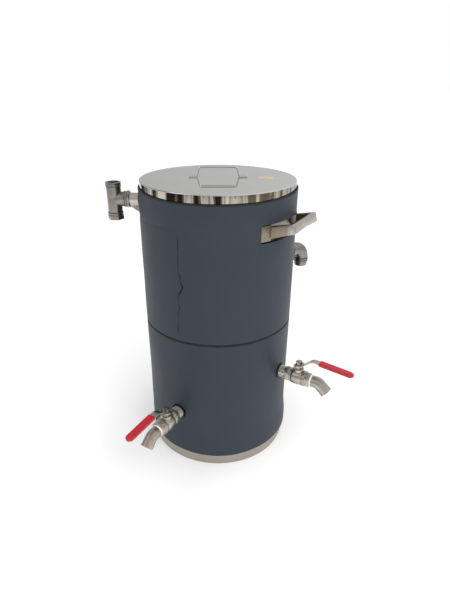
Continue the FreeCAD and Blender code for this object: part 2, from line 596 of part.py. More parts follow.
def tee_group():
    """Tee standing upright beside the rim, held on its nipple by a lock nut."""
    run = upright("tee_run", "tee_radius", "-tee_half", "tee_half", "tee_reach")
    beads = [upright("tee_bead_low", "tee_bead", "-tee_half", "-tee_half+bead_width", "tee_reach"),
             upright("tee_bead_high", "tee_bead", "tee_half-bead_width", "tee_half", "tee_reach"),
             laid_out("tee_bead_branch", "branch_bead", "branch_start", "branch_start+bead_width")]
    branch = laid_out("tee_branch_tube", "branch_radius", "branch_start", "tee_reach")
    ways = [upright("tee_mouth_high", "thread_minor", "tee_half-mouth_depth", "tee_half+1", "tee_reach"),
            upright("tee_mouth_low", "thread", "-tee_half-1", "-tee_half+mouth_depth", "tee_reach"),
            upright("tee_hollow", "tee_cavity", "-tee_half+mouth_depth", "tee_half-mouth_depth", "tee_reach"),
            laid_out("tee_mouth_branch", "thread", "branch_start-1", "branch_start+mouth_depth"),
            laid_out("tee_branch_way", "thread_bore", "branch_start", "tee_reach")]
    tee = cut_from("tee_cast", joined("tee_solid", [run, branch] + beads), ways)
    piece(set_in(tee, at_port("tee")), "tee")

    lock_start = "(branch_start-lock_width)"
    flats = hexagon("tee_lock_flats", "lock_flats", "lock_width", shifted(z=lock_start))
    rounded = turned("tee_lock_round", [
        ("thread", lock_start), ("lock_flats/2-0.4", lock_start),
        ("lock_flats/2+lock_chamfer", f"{lock_start}+lock_chamfer*0.6"),
        ("lock_flats/2+lock_chamfer", "branch_start-lock_chamfer*0.6"),
        ("lock_flats/2-0.4", "branch_start"), ("thread", "branch_start")])
    piece(set_in(shared("tee_lock", [flats, rounded]), at_port("tee", lay="*" + LAID_OUT)), "tee_lock_nut")
    port_nipple("tee", "tee_nipple", lock_start, "lock_width+thread_length")
    outlet_bush("tee", "tee_reach", "-tee_half", "tee_bush_hex")


def outlet_bush(port, reach, end, hex_length):
    """Hex reducing bush screwed up into an open lower end."""
    flats = hexagon(f"{port}_outlet_flats", "bush_flats", hex_length, shifted(z=f"{end}-{hex_length}"))
    plug = upright(f"{port}_outlet_plug", "thread", end, f"{end}+thread_length")
    way = upright(f"{port}_outlet_way", "bush_minor", f"{end}-2*{hex_length}", f"{end}+2*thread_length")
    bush = cut_from(f"{port}_outlet", joined(f"{port}_outlet_solid", [flats, plug]), [way])
    piece(set_in(bush, at_port(port, reach=reach)), f"{port}_outlet_bush")


def elbow_group():
    """Ninety degree elbow turned down, on its nipple."""
    corner_start = "(elbow_reach-elbow_bend)"
    corner = f"placement(vector({corner_start};0;-elbow_bend);rotationx(90))"

    def quarter(name, radius):
        item = doc.addObject("Part::Torus", name)
        bind(item, Radius1="elbow_bend", Radius2=radius)
        item.Angle3 = 90
        return set_in(item, corner)
    solids = [laid_out("elbow_arm", "elbow_radius", "elbow_inlet", corner_start),
              upright("elbow_leg", "elbow_radius", "-elbow_drop", "-elbow_bend", "elbow_reach"),
              quarter("elbow_corner", "elbow_radius"),
              laid_out("elbow_bead_in", "elbow_bead", "elbow_inlet", "elbow_inlet+bead_width"),
              upright("elbow_bead_low", "elbow_bead", "-elbow_drop", "-elbow_drop+bead_width", "elbow_reach")]
    ways = [laid_out("elbow_way_in", "thread", "elbow_inlet-1", "elbow_inlet+mouth_depth"),
            laid_out("elbow_way_arm", "thread_bore", "elbow_inlet", corner_start),
            upright("elbow_way_low", "thread", "-elbow_drop-1", "-elbow_bend", "elbow_reach"),
            quarter("elbow_way_round", "thread_bore")]
    piece(set_in(cut_from("elbow_cast", joined("elbow_solid", solids), ways), at_port("elbow")), "elbow")
    port_nipple("elbow", "elbow_nipple", "elbow_inlet", "thread_length")
    outlet_bush("elbow", "elbow_reach", "-elbow_drop", "elbow_bush_hex")


# ---------------------------------------------------------------- assembly, checks and export

pot_shell()
base_and_band()
sockets()
foam_sleeves()
side_handle("right", "0")
side_handle("left", "180")
lid()
for valve, valve_roll, spout_roll in (("valve_a", "valve_a_roll", "spout_a_roll"),
                                      ("valve_b", "valve_b_roll", "spout_b_roll")):
    port_nipple(valve, f"port_nipple_{valve[-1]}", "valve_start", "thread_length")
    valve_body(valve, valve_roll)
    valve_cap(valve, valve_roll)
    seats(valve, valve_roll)
    stem_seals(valve, valve_roll)
    ball_and_stem(valve, valve_roll)
    lever(valve, valve_roll)
    tape_and_spout(valve, spout_roll)
tee_group()
elbow_group()
doc.recompute()

for item in doc.Objects:
    if "Invalid" in item.State or "Error" in item.State:
        raise RuntimeError(f"{item.Label} did not compute: {item.State}")
os.makedirs("parts", exist_ok=True)
for item in PIECES:
    shape = item.Shape
    if shape.isNull() or not shape.isValid():
        raise RuntimeError(f"{item.Label} has no valid shape")
    shape.exportStep(f"parts/{item.Label}.step")
    print(f"{item.Label:24s} solids {len(shape.Solids)}  volume {shape.Volume:12.1f}")
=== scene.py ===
import json
import math

import bmesh
import bpy
from mathutils import Matrix, Vector, noise


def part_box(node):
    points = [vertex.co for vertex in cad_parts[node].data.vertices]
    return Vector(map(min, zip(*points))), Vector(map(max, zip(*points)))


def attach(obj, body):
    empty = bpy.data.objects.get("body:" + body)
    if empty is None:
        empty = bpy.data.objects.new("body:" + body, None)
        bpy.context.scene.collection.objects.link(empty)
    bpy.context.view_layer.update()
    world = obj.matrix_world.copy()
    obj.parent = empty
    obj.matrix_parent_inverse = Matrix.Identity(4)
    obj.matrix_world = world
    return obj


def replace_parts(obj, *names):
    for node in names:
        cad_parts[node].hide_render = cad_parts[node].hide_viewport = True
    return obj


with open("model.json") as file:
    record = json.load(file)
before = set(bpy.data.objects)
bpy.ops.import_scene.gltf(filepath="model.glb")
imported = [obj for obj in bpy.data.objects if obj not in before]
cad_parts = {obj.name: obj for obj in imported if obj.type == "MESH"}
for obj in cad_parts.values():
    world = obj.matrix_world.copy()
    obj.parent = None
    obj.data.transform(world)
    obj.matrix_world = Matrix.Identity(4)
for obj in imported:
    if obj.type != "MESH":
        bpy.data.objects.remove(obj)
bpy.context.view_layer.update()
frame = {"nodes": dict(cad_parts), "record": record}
scene = bpy.context.scene

# ---------------------------------------------------------------- camera
# A camera about a metre out from the pot's middle line, above the lid and looking down on it,
# as a person standing at a bench would see it.
camera_place = Vector((0.5269, -0.8270, 0.8247))
camera_heading = math.radians(31.578)
camera_pitch = math.radians(25.612)
camera_roll = math.radians(0.269)
camera_data = bpy.data.cameras.new("camera")
camera_data.lens = 27.227
camera_data.sensor_width = 36.0
camera = bpy.data.objects.new("camera", camera_data)
camera.matrix_world = (Matrix.Translation(camera_place) @ Matrix.Rotation(camera_heading, 4, "Z")
                       @ Matrix.Rotation(math.radians(90) - camera_pitch, 4, "X")
                       @ Matrix.Rotation(camera_roll, 4, "Z"))
scene.collection.objects.link(camera)
scene.camera = camera

# ---------------------------------------------------------------- studio
# A white floor that runs out of sight, one broad light overhead and two soft panels at the sides.
# The room seen in the polished steel is paler overhead and brighter toward its window, with dark
# blocks low down, as furniture makes, except along the far wall.
scene.view_settings.view_transform = "Standard"


def add_node(tree, kind, inputs=(), **settings):
    """A shader node; settings are its own fields, inputs are values or sockets by name or number."""
    made = tree.nodes.new(kind)
    for field, value in settings.items():
        setattr(made, field, value)
    for socket, value in dict(inputs).items():
        if isinstance(value, bpy.types.NodeSocket):
            tree.links.new(value, made.inputs[socket])
        else:
            made.inputs[socket].default_value = value
    return made


def math_node(tree, operation, first, second=0.0, third=0.0):
    return add_node(tree, "ShaderNodeMath", {0: first, 1: second, 2: third}, operation=operation).outputs[0]


def vector_measure(tree, operation, first, second=(0.0, 0.0, 0.0)):
    """A vector operation that gives one number, such as DOT_PRODUCT or LENGTH."""
    return add_node(tree, "ShaderNodeVectorMath", {0: first, 1: second}, operation=operation).outputs["Value"]


def noise_node(tree, vector, scale, detail=3.0, roughness=0.5, distortion=0.0):
    return add_node(tree, "ShaderNodeTexNoise", {
        "Vector": vector, "Scale": scale, "Detail": detail, "Roughness": roughness,
        "Distortion": distortion}).outputs["Fac"]


def spread(tree, value, low=0.0, high=1.0, start=0.25, end=0.75):
    """Map a value's useful part, from start to end, to a new range."""
    return add_node(tree, "ShaderNodeMapRange", {
        "Value": value, "From Min": start, "From Max": end, "To Min": low, "To Max": high}).outputs[0]


def blend_colours(tree, fac, first, second):
    return add_node(tree, "ShaderNodeMix", {0: fac, 6: first, 7: second}, data_type="RGBA").outputs[2]


def new_material(name, metallic=1.0, coat=0.0, **inputs):
    """A material with a Principled shader; returns it, its tree and the shader's inputs."""
    material = bpy.data.materials.new(name)
    material.use_nodes = True
    shader = material.node_tree.nodes["Principled BSDF"]
    shader.inputs["Metallic"].default_value = metallic
    shader.inputs["Coat Weight"].default_value = coat
    for socket, value in inputs.items():
        shader.inputs[socket.replace("_", " ")].default_value = value
    return material, material.node_tree, shader.inputs


world = bpy.data.worlds.new("studio")
scene.world = world
world.use_nodes = True
room = world.node_tree
room.nodes.clear()
direction = add_node(room, "ShaderNodeTexCoord").outputs["Generated"]
height = add_node(room, "ShaderNodeSeparateXYZ", {0: direction}).outputs["Z"]
rise = add_node(room, "ShaderNodeValToRGB", {"Fac": height})
stops = rise.color_ramp.elements
stops[0].position, stops[0].color = 0.0, (0.42, 0.41, 0.39, 1)
stops[1].position, stops[1].color = 0.90, (0.74, 0.74, 0.75, 1)
for place, tone in ((0.12, 0.58), (0.30, 0.66), (0.55, 0.70)):
    stop = stops.new(place)
    stop.color = (tone, tone, tone * 0.99, 1)
blocks = spread(room, noise_node(room, direction, 2.3, 1.0), 0.0, 0.72, 0.50, 0.44)
low_down = spread(room, height, 0.0, 1.0, 0.45, 0.30)
far_wall = vector_measure(room, "DOT_PRODUCT", direction, (-0.52, 0.85, 0.0))
off_far_wall = spread(room, far_wall, 0.0, 1.0, 0.75, 0.45)
shaded = math_node(room, "MULTIPLY", math_node(room, "MULTIPLY", blocks, low_down), off_far_wall)
walls = blend_colours(room, shaded, rise.outputs["Color"], (0.10, 0.085, 0.07, 1))
toward_window = vector_measure(room, "DOT_PRODUCT", direction, (0.85, 0.52, 0.0))
daylight = spread(room, toward_window, 0.62, 1.38, -0.8, 0.8)
seen = add_node(room, "ShaderNodeBackground", {"Color": (1, 1, 1, 1), "Strength": 1.0})
lit = add_node(room, "ShaderNodeBackground", {"Color": walls, "Strength": daylight})
straight = add_node(room, "ShaderNodeLightPath").outputs["Is Camera Ray"]
pick = add_node(room, "ShaderNodeMixShader", {0: straight, 1: lit.outputs[0], 2: seen.outputs[0]})
add_node(room, "ShaderNodeOutputWorld", {"Surface": pick.outputs[0]})

floor_mesh = bpy.data.meshes.new("floor")
floor_shape = bmesh.new()
bmesh.ops.create_grid(floor_shape, x_segments=8, y_segments=8, size=60.0)
floor_shape.to_mesh(floor_mesh)
floor_shape.free()
floor = bpy.data.objects.new("floor", floor_mesh)
scene.collection.objects.link(floor)
floor_mesh.materials.append(
    new_material("floor_paint", metallic=0.0, Base_Color=(0.93, 0.93, 0.93, 1), Roughness=0.7)[0])

sky_light = bpy.data.lights.new("overhead", "SUN")
sky_light.energy = 1.5
sky_light.angle = math.radians(100)
sky_lamp = bpy.data.objects.new("overhead", sky_light)
sky_lamp.rotation_euler = (math.radians(8), math.radians(12), 0)
sky_lamp.visible_glossy = False
scene.collection.objects.link(sky_lamp)
for name, place, aim, size, power, tone in (
        ("key", (1.9, -0.9, 1.9), (0, 0, 0.35), 1.4, 18, (1.0, 0.99, 0.97)),
        ("fill", (-0.9, -1.7, 1.9), (0, 0, 0.3), 1.2, 5, (0.97, 0.98, 1.0))):
    panel = bpy.data.lights.new(name, "AREA")
    panel.size = size
    panel.energy = power
    panel.color = tone
    lamp = bpy.data.objects.new(name, panel)
    lamp.matrix_world = (Matrix.Translation(Vector(place))
                         @ (Vector(aim) - Vector(place)).to_track_quat("-Z", "Y").to_matrix().to_4x4())
    lamp.visible_glossy = name == "fill"
    scene.collection.objects.link(lamp)

# ---------------------------------------------------------------- pot shell, base plate and sockets
# A rolled stainless shell with a welded floor on a sandwich base plate, and half couplings welded
# through its wall. The sheet's fine grain runs round the pot. The shell is pale inside and a darker
# brown on its outer face, under the foam; the couplings are dark.


def new_group(name, takes, gives):
    """An effect group. takes gives each input its socket kind and value, gives each output its kind."""
    tree = bpy.data.node_groups.new(name, "ShaderNodeTree")
    for label, (kind, value) in takes.items():
        tree.interface.new_socket(label, in_out="INPUT", socket_type=kind).default_value = value
    for label, kind in gives.items():
        tree.interface.new_socket(label, in_out="OUTPUT", socket_type=kind)
    return tree, tree.nodes.new("NodeGroupInput").outputs, tree.nodes.new("NodeGroupOutput").inputs


def own_spot(tree):
    return add_node(tree, "ShaderNodeTexCoord").outputs["Object"]


def stretched(tree, vector, scale):
    return add_node(tree, "ShaderNodeVectorMath", {0: vector, 1: scale}, operation="MULTIPLY").outputs[0]


FLOAT = "NodeSocketFloat"
level_only = (1.0, 1.0, 0.0)

turned_grain, taken, given = new_group(
    "turned grain", {"Fineness": (FLOAT, 900.0), "Length": (FLOAT, 6.0)}, {"Grain": FLOAT, "Patches": FLOAT})
spot = own_spot(turned_grain)
split = add_node(turned_grain, "ShaderNodeSeparateXYZ", {0: spot}).outputs
turn = math_node(turned_grain, "ARCTAN2", split["Y"], split["X"])
reach = vector_measure(turned_grain, "LENGTH", stretched(turned_grain, spot, level_only))
lay = add_node(turned_grain, "ShaderNodeCombineXYZ", {
    "X": math_node(turned_grain, "MULTIPLY", turn, taken["Length"]),
    "Y": math_node(turned_grain, "MULTIPLY", reach, taken["Fineness"]),
    "Z": math_node(turned_grain, "MULTIPLY", split["Z"], taken["Fineness"])}).outputs[0]
turned_grain.links.new(noise_node(turned_grain, lay, 1.0, 4.0, 0.65), given["Grain"])
turned_grain.links.new(noise_node(turned_grain, spot, 9.0, 3.0, 0.55, 0.6), given["Patches"])


def grained(tree, fineness, length=6.0):
    return add_node(tree, "ShaderNodeGroup", {"Fineness": fineness, "Length": length},
                    node_tree=turned_grain).outputs


def finish_surface(tree, shader, colour, roughness, height=None, strength=0.0, depth=0.0001):
    """Wire a colour, a roughness and, with a height, a fine bump into a material's shader."""
    tree.links.new(colour, shader["Base Color"])
    tree.links.new(roughness, shader["Roughness"])
    if height is not None:
        bump = add_node(tree, "ShaderNodeBump", {"Strength": strength, "Distance": depth, "Height": height})
        tree.links.new(bump.outputs[0], shader["Normal"])


wall_tint_start, wall_tint_full, tint_shade = 0.1621, 0.1625, 0.6


def turned_steel(name, pale, dark, smooth, rough, fineness, depth, outside=None):
    """Satin sheet steel with a grain that runs round the pot; outside tints the shell's outer face."""
    material, tree, shader = new_material(name)
    grain, patches = grained(tree, fineness).values()
    mottle = math_node(tree, "MULTIPLY_ADD", grain, 0.5, math_node(tree, "MULTIPLY", patches, 0.5))
    tone = spread(tree, mottle, start=0.3, end=0.7)
    colour = blend_colours(tree, tone, (*dark, 1), (*pale, 1))
    if outside:
        reach = vector_measure(tree, "LENGTH", stretched(tree, own_spot(tree), level_only))
        dark_brown_tone = blend_colours(tree, tone, (*[part * tint_shade for part in outside], 1), (*outside, 1))
        outer_face = spread(tree, reach, 0.0, 1.0, wall_tint_start, wall_tint_full)
        colour = blend_colours(tree, outer_face, colour, dark_brown_tone)
    finish_surface(tree, shader, colour, spread(tree, patches, smooth, rough), grain, 0.35, depth)
    return material


def finish_nodes(material, *names):
    for name in names:
        for holder in frame["nodes"][name].material_slots:
            holder.material = material


pot_steel = turned_steel("pot_steel", (0.84, 0.83, 0.81), (0.72, 0.71, 0.69), 0.22, 0.36, 1100.0, 0.0001,
                         (0.30, 0.265, 0.225))
finish_nodes(pot_steel, "pot_shell", "floor_disc", "base_plate")
# The same dark material also makes the thin painted shade lines beside the tee's and elbow's rings.
dark_socket_and_groove_shade = turned_steel("dark_socket_and_groove_shade", (0.10, 0.09, 0.08), (0.05, 0.045, 0.04), 0.45, 0.60, 300.0,
                            0.0002)
finish_nodes(dark_socket_and_groove_shade, *("port_socket_" + port for port in ("valve_a", "valve_b", "tee", "elbow")))

# ---------------------------------------------------------------- foot band
# A rolled band of warm grey stainless sheet round the base, spot welded under the foam sleeve.
# Handling has left it a little dull and blotchy.
band_steel = turned_steel("band_steel", (0.46, 0.42, 0.37), (0.35, 0.315, 0.275), 0.30, 0.48, 700.0, 0.00015)
finish_nodes(band_steel, "foot_band")

# ---------------------------------------------------------------- foam sleeves
# Two sleeves of black closed-cell foam with a slate satin film outside, each a sheet wrapped round
# the shell, glued edge to edge and cut out for the pipes and handle feet. The film wrinkles along the
# upper sleeve's glue line and flares over the foot band; black foam stands up behind the lid.
foam_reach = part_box("insulation_upper")[1][0]
foam_inside = 0.1633
film_edge = {"insulation_lower": (0.0014, 0.0034), "insulation_upper": (0.0024, 0.0030)}
rim_lift, rim_inside, near_side = 0.0060, 0.1669, math.radians(-57.5)
seam_columns = [math.radians(-94 + 0.25 * step) for step in range(61)]
sleeve_columns = sorted(seam_columns + [math.radians(1.5 * step) for step in range(-120, 120)
                                        if not -94 <= 1.5 * step <= -79])
row_step = 0.0022
port_hole = 0.0183

# The glue line: turns in degrees, the rest in metres. Bulges are height, width and degrees aside;
# tears are height and size; the section across it is distance aside, width and rise.
degree_run = 0.00297
seam_turn, seam_lean, seam_top, seam_run, seam_fade = -84.4, 2.6, 0.548, 0.207, 0.02
seam_bulges = ((0.455, 0.013, 3.3), (0.477, 0.009, 1.5), (0.408, 0.008, 1.3))
seam_section = ((0.0030, 0.0016, 0.0009), (0.0, 0.0008, -0.0024), (-0.0032, 0.0020, 0.0004))
seam_tears, tear_depth, tear_squash = ((0.4585, 0.0016), (0.4435, 0.0021)), 0.0022, 0.45
ruck_high, ruck_low, roll_height, roll_depth = 0.572, 0.332, 0.572, 0.0006
fold_aside, fold_width, fold_depth, fold_height, fold_length = 5.2, 0.0012, 0.0014, 0.46, 0.06
crease_turn, crease_height, crease_slope, crease_rise = -81.6, 0.586, 0.75, 0.0007
flare_turn, flare_width, flare_top, flare_height, flare_reach = 28, 34.0, 0.098, 0.055, 0.0042


def bell(distance, width):
    return math.exp(-(distance / width) ** 2)


def clamp(value):
    return min(1.0, max(0.0, value))


def ease(value):
    return value * value * (3 - 2 * value)


def ripple(x, y, z):
    return noise.noise(Vector((x, y, z)))


def degrees_from(turn, centre):
    return math.degrees(math.atan2(math.sin(turn - centre), math.cos(turn - centre)))


def circle(count):
    """Cosine and sine of evenly spaced turns, once round."""
    return [(math.cos(side * math.tau / count), math.sin(side * math.tau / count)) for side in range(count)]


def outward_at(spot):
    return Vector((spot.x, spot.y, 0)).normalized()


def middle_of(node):
    low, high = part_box(node)
    return (low + high) / 2


def film_lift(turn, z):
    """How far the film stands off the true cylinder: broad slack and small dimples."""
    x, y = math.cos(turn), math.sin(turn)
    lift = 0.0007 * ripple(x * 1.7, y * 1.7, z * 7)
    lift += 0.00025 * ripple(x * 6, y * 6, z * 30 + 9)
    return lift


def upper_lift(turn, z):
    """The upper film: a shallow roll under the rim, the glue line with its rucks and tears, a crease."""
    lift = film_lift(turn, z) - roll_depth * bell(z - roll_height - 0.002 * math.sin(3 * turn), 0.005)
    degrees = math.degrees(turn)
    strength = clamp((ruck_high - z) / seam_fade) * clamp((z - ruck_low) / seam_fade)
    wander = 0.35 * ripple(3, 1, z * 60) + 0.2 * ripple(7, 2, z * 170)
    wander += sum(aside * bell(z - height, width) for height, width, aside in seam_bulges) - 0.4
    line = seam_turn - (seam_top - z) / seam_run * seam_lean + wander
    ruck = 0.62 + 0.4 * ripple(1, 5, z * 60) + 0.4 * bell(z - 0.450, 0.018)
    across = (degrees - line) * degree_run
    lift += strength * ruck * sum(rise * bell(across - aside, width) for aside, width, rise in seam_section)
    fold = (degrees - line + fold_aside + 0.8 * ripple(2, 8, z * 25)) * degree_run
    lift -= 0.6 * strength * ruck * fold_depth * bell(fold, fold_width) * bell(z - fold_height, fold_length)
    for height, size in seam_tears:
        lift -= tear_depth * bell(Vector((across, (z - height) * tear_squash)).length, size)
    along = (degrees - crease_turn) * degree_run
    slant = (z - crease_height) - along * crease_slope
    lift += crease_rise * bell(slant, 0.0010) * bell(along, 0.009)
    return lift


def lower_lift(turn, z):
    """The lower film, flared out over the foot band on one side."""
    aside = bell(degrees_from(turn, math.radians(flare_turn)), flare_width)
    return film_lift(turn, z) + flare_reach * aside * ease(clamp((flare_top - z) / flare_height))


def face_outward(mesh, weld=False):
    """Turn every face to the outside, and join points that meet if weld is set."""
    shape = bmesh.new()
    shape.from_mesh(mesh)
    if weld:
        bmesh.ops.remove_doubles(shape, verts=shape.verts, dist=1e-6)
    bmesh.ops.recalc_face_normals(shape, faces=shape.faces)
    shape.to_mesh(mesh)
    shape.free()


def put_piece(name, points, faces, body, slot, materials, smooth, lined=()):
    """Make an object of points and faces that rides on a body; lined faces take the second material."""
    mesh = bpy.data.meshes.new(name)
    mesh.from_pydata([tuple(point) for point in points], [], faces)
    for material in materials:
        mesh.materials.append(material)
    for index in lined:
        mesh.polygons[index].material_index = 1
    return put_mesh(name, mesh, body, smooth)


def put_mesh(name, mesh, body, smooth):
    face_outward(mesh, weld=True)
    mesh.shade_smooth()
    mesh.set_sharp_from_angle(angle=math.radians(smooth))
    item = bpy.data.objects.new(name, mesh)
    scene.collection.objects.link(item)
    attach(item, body)
    return item


def loft(rings, loop=False, cap=False):
    """Points and faces between rings of equal length; loop joins the last ring to the first."""
    count = len(rings[0])
    points = [point for ring in rings for point in ring]
    faces = []
    for index in range(len(rings) if loop else len(rings) - 1):
        start, after = index * count, (index + 1) % len(rings) * count
        faces += [(start + side, start + (side + 1) % count, after + (side + 1) % count, after + side)
                  for side in range(count)]
    if cap:
        faces += [tuple(range(count))[::-1], tuple(len(points) - count + side for side in range(count))]
    return points, faces


def add_shape(points, faces, shape):
    """Add another shape's points and faces to the lists that a piece is growing in."""
    more, faces_more = shape
    faces += [tuple(len(points) + index for index in face) for face in faces_more]
    points += more


def cutter_solid(points, faces):
    mesh = bpy.data.meshes.new("cutter")
    mesh.from_pydata([tuple(point) for point in points], [], faces)
    face_outward(mesh)
    cutter = bpy.data.objects.new("cutter", mesh)
    scene.collection.objects.link(cutter)
    return cutter


def carve(name, blank, steps, materials):
    """Join solids to a blank or cut them from it, in order, and return the mesh; the solids are used up."""
    for operation, solid in steps:
        step = blank.modifiers.new("step", "BOOLEAN")
        step.object, step.operation, step.solver = solid, operation, "EXACT"
    mesh = bpy.data.meshes.new_from_object(blank.evaluated_get(bpy.context.evaluated_depsgraph_get()))
    mesh.name = name
    for spare in [blank] + [solid for operation, solid in steps]:
        bpy.data.objects.remove(spare)
    mesh.materials.clear()
    for material in materials:
        mesh.materials.append(material)
    return mesh


def pipe_cutter(node):
    """A slightly ragged round cutter along the pipe of a welded socket."""
    centre = middle_of(node)
    outward = outward_at(centre)
    across, up = Vector((-outward.y, outward.x, 0)), Vector((0, 0, 1))
    rings = []
    for distance in (0.130, 0.200):
        start = Vector((0, 0, centre.z)) + outward * distance
        rings.append([start + (across * c + up * s)
                      * (port_hole + 0.0005 * ripple(c * 2, s * 2, centre.z * 40)) for c, s in circle(72)])
    return cutter_solid(*loft(rings, cap=True))


def foot_cutter(node, side):
    """A window with rounded corners for the two feet of a side handle and the loop between them."""
    half, bottom, top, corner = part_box(node)[1][1] + 0.0003, 0.5433, 0.5800, 0.004
    outline = []
    for y, z, start in ((half - corner, top - corner, 0), (-half + corner, top - corner, 90),
                        (-half + corner, bottom + corner, 180), (half - corner, bottom + corner, 270)):
        outline += [(y + corner * math.cos(math.radians(start + step * 18)),
                     z + corner * math.sin(math.radians(start + step * 18))) for step in range(6)]
    rings = [[Vector((side * x, y, z)) for y, z in outline] for x in (0.08, 0.21)]
    return cutter_solid(*loft(rings, cap=True))


def foam_sleeve(name, node, lift_at, cutters):
    """A foam tube with its film lifted point by point, then cut out for the pipes and handle feet."""
    low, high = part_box(node)
    bottom, top = low[2], high[2]
    edge_low, edge_high = film_edge[node]
    is_upper = node == "insulation_upper"
    rows = int((top - bottom - edge_low - edge_high) / row_step)
    rings = []
    for turn in sleeve_columns:
        x, y = math.cos(turn), math.sin(turn)
        rough = 0.0004 * ripple(x * 9, y * 9, bottom * 10)
        rise = rim_lift * clamp((abs(degrees_from(turn, near_side)) - 25) / 55) if is_upper else 0.0
        start, end = bottom + edge_low + rough, top - edge_high + rise + rough
        lip = end + edge_high * 0.95
        outline = [(foam_inside, bottom), (foam_reach - edge_low, bottom),
                   (foam_reach - edge_low * 0.3, bottom + edge_low * 0.35 + rough)]
        outline += [(foam_reach, start + (end - start) * row / rows) for row in range(rows + 1)]
        outline += [(foam_reach - 0.0007, end + edge_high * 0.45), (foam_reach - 0.0018, lip),
                    (rim_inside, lip), (rim_inside - 0.0003, top), (foam_inside, top)]
        rings.append([Vector((x, y, 0)) * (reach + (lift_at(turn, z) if reach > rim_inside else 0))
                      + Vector((0, 0, z)) for reach, z in outline])
    mesh = carve(name, cutter_solid(*loft(rings, loop=True)), [("DIFFERENCE", cutter) for cutter in cutters],
                 [slate_film, black_foam])
    for face in mesh.polygons:
        centre = face.center
        faces_out = outward_at(centre).dot(face.normal) > 0.55 and centre.xy.length > foam_reach - 0.0012
        under_lip = centre.z < top - edge_high * 0.9 or is_upper and abs(face.normal.z) < 0.15
        on_film = faces_out and under_lip and centre.z - bottom > edge_low
        face.material_index = 0 if on_film else 1
    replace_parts(put_mesh(name, mesh, "pot", 50.0), node)


handling, taken, given = new_group(
    "handling marks", {"Size": (FLOAT, 8.0), "Grit": (FLOAT, 700.0)},
    {"Smudge": FLOAT, "Speck": FLOAT, "Grit": FLOAT})
spot = own_spot(handling)
handling.links.new(noise_node(handling, spot, taken["Size"], 5.0, 0.6, 0.4), given["Smudge"])
specks = noise_node(handling, spot, 260.0, 2.0, 0.5)
handling.links.new(spread(handling, specks, 0.0, 1.0, 0.68, 0.74), given["Speck"])
handling.links.new(noise_node(handling, spot, taken["Grit"], 3.0, 0.6), given["Grit"])


def marked(tree, size, grit):
    return add_node(tree, "ShaderNodeGroup", {"Size": size, "Grit": grit}, node_tree=handling).outputs


slate_film, tree, shader = new_material("slate_film", metallic=0.0, Specular_IOR_Level=0.30,
                                        Specular_Tint=(0.80, 0.90, 1.0, 1))
marks = marked(tree, 6.0, 1400.0)
slate = blend_colours(tree, spread(tree, marks["Smudge"]), (0.025, 0.031, 0.041, 1), (0.031, 0.039, 0.050, 1))
dusty = blend_colours(tree, math_node(tree, "MULTIPLY", marks["Speck"], 0.05), slate, (0.22, 0.22, 0.22, 1))
finish_surface(tree, shader, dusty, spread(tree, marks["Smudge"], 0.46, 0.60), marks["Grit"], 0.30, 0.0002)

black_foam, tree, shader = new_material("black_foam", metallic=0.0)
marks = marked(tree, 40.0, 900.0)
black = blend_colours(tree, marks["Grit"], (0.008, 0.008, 0.009, 1), (0.022, 0.022, 0.024, 1))
finish_surface(tree, shader, black, spread(tree, marks["Smudge"], 0.80, 0.95), marks["Grit"], 0.8, 0.0006)

foam_sleeve("foam_sleeve_lower", "insulation_lower", lower_lift,
            [pipe_cutter("port_socket_valve_a"), pipe_cutter("port_socket_valve_b")])
foam_sleeve("foam_sleeve_upper", "insulation_upper", upper_lift,
            [pipe_cutter("port_socket_tee"), pipe_cutter("port_socket_elbow"),
             foot_cutter("side_handle_right", 1), foot_cutter("side_handle_left", -1)])

# ---------------------------------------------------------------- lid
# A flat spun lid with a deep skirt, bright all over. The top is brushed to a soft mirror and has
# handling marks; the skirt is polished, and a broken reflection of the room round the pot is painted
# into its colour as dark, brown and pale patches.
lid_low, lid_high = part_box("lid")
lid_reach, lid_base, lid_top = lid_high[0], lid_low[2], lid_high[2]
lid_round, lid_sheet = 0.0024, 0.0009
outline = [(lid_reach * step / 28, lid_top) for step in range(28)]
outline[-1] = (lid_reach - lid_round - 0.0015, lid_top)
outline += [(lid_reach - lid_round * (1 - math.sin(math.radians(step * 15))),
             lid_top - lid_round * (1 - math.cos(math.radians(step * 15)))) for step in range(7)]
outline += [(lid_reach, lid_top - 0.006), (lid_reach + 0.00005, lid_base + 0.0012),
            (lid_reach - 0.0002, lid_base + 0.0002), (lid_reach - 0.00045, lid_base),
            (lid_reach - lid_sheet, lid_base + 0.0003), (lid_reach - lid_sheet, lid_top - lid_round),
            (lid_reach - lid_round, lid_top - 0.0010), (0.0, lid_top - 0.0010)]
rings = []
for c, s in circle(240):
    ring = []
    for reach, z in outline:
        spot = Vector((reach * c, reach * s, z))
        sway = 0.00005 * noise.noise(spot * 14) if z > lid_top - 0.0015 else 0.0
        wave = 0.00006 * ripple(c * 5, s * 5, z * 60) if reach > lid_reach - 0.0005 else 0.0
        ring.append(spot + Vector((0, 0, sway)) + Vector((c, s, 0)) * wave)
    rings.append(ring)

lid_steel, tree, shader = new_material("lid_steel")
marks = marked(tree, 10.0, 500.0)
tone = spread(tree, marks["Smudge"], start=0.3, end=0.7)
finish_surface(tree, shader, blend_colours(tree, tone, (0.60, 0.60, 0.60, 1), (0.66, 0.66, 0.66, 1)),
               spread(tree, marks["Smudge"], 0.02, 0.045), grained(tree, 420.0, 3.0)["Grain"], 0.03)

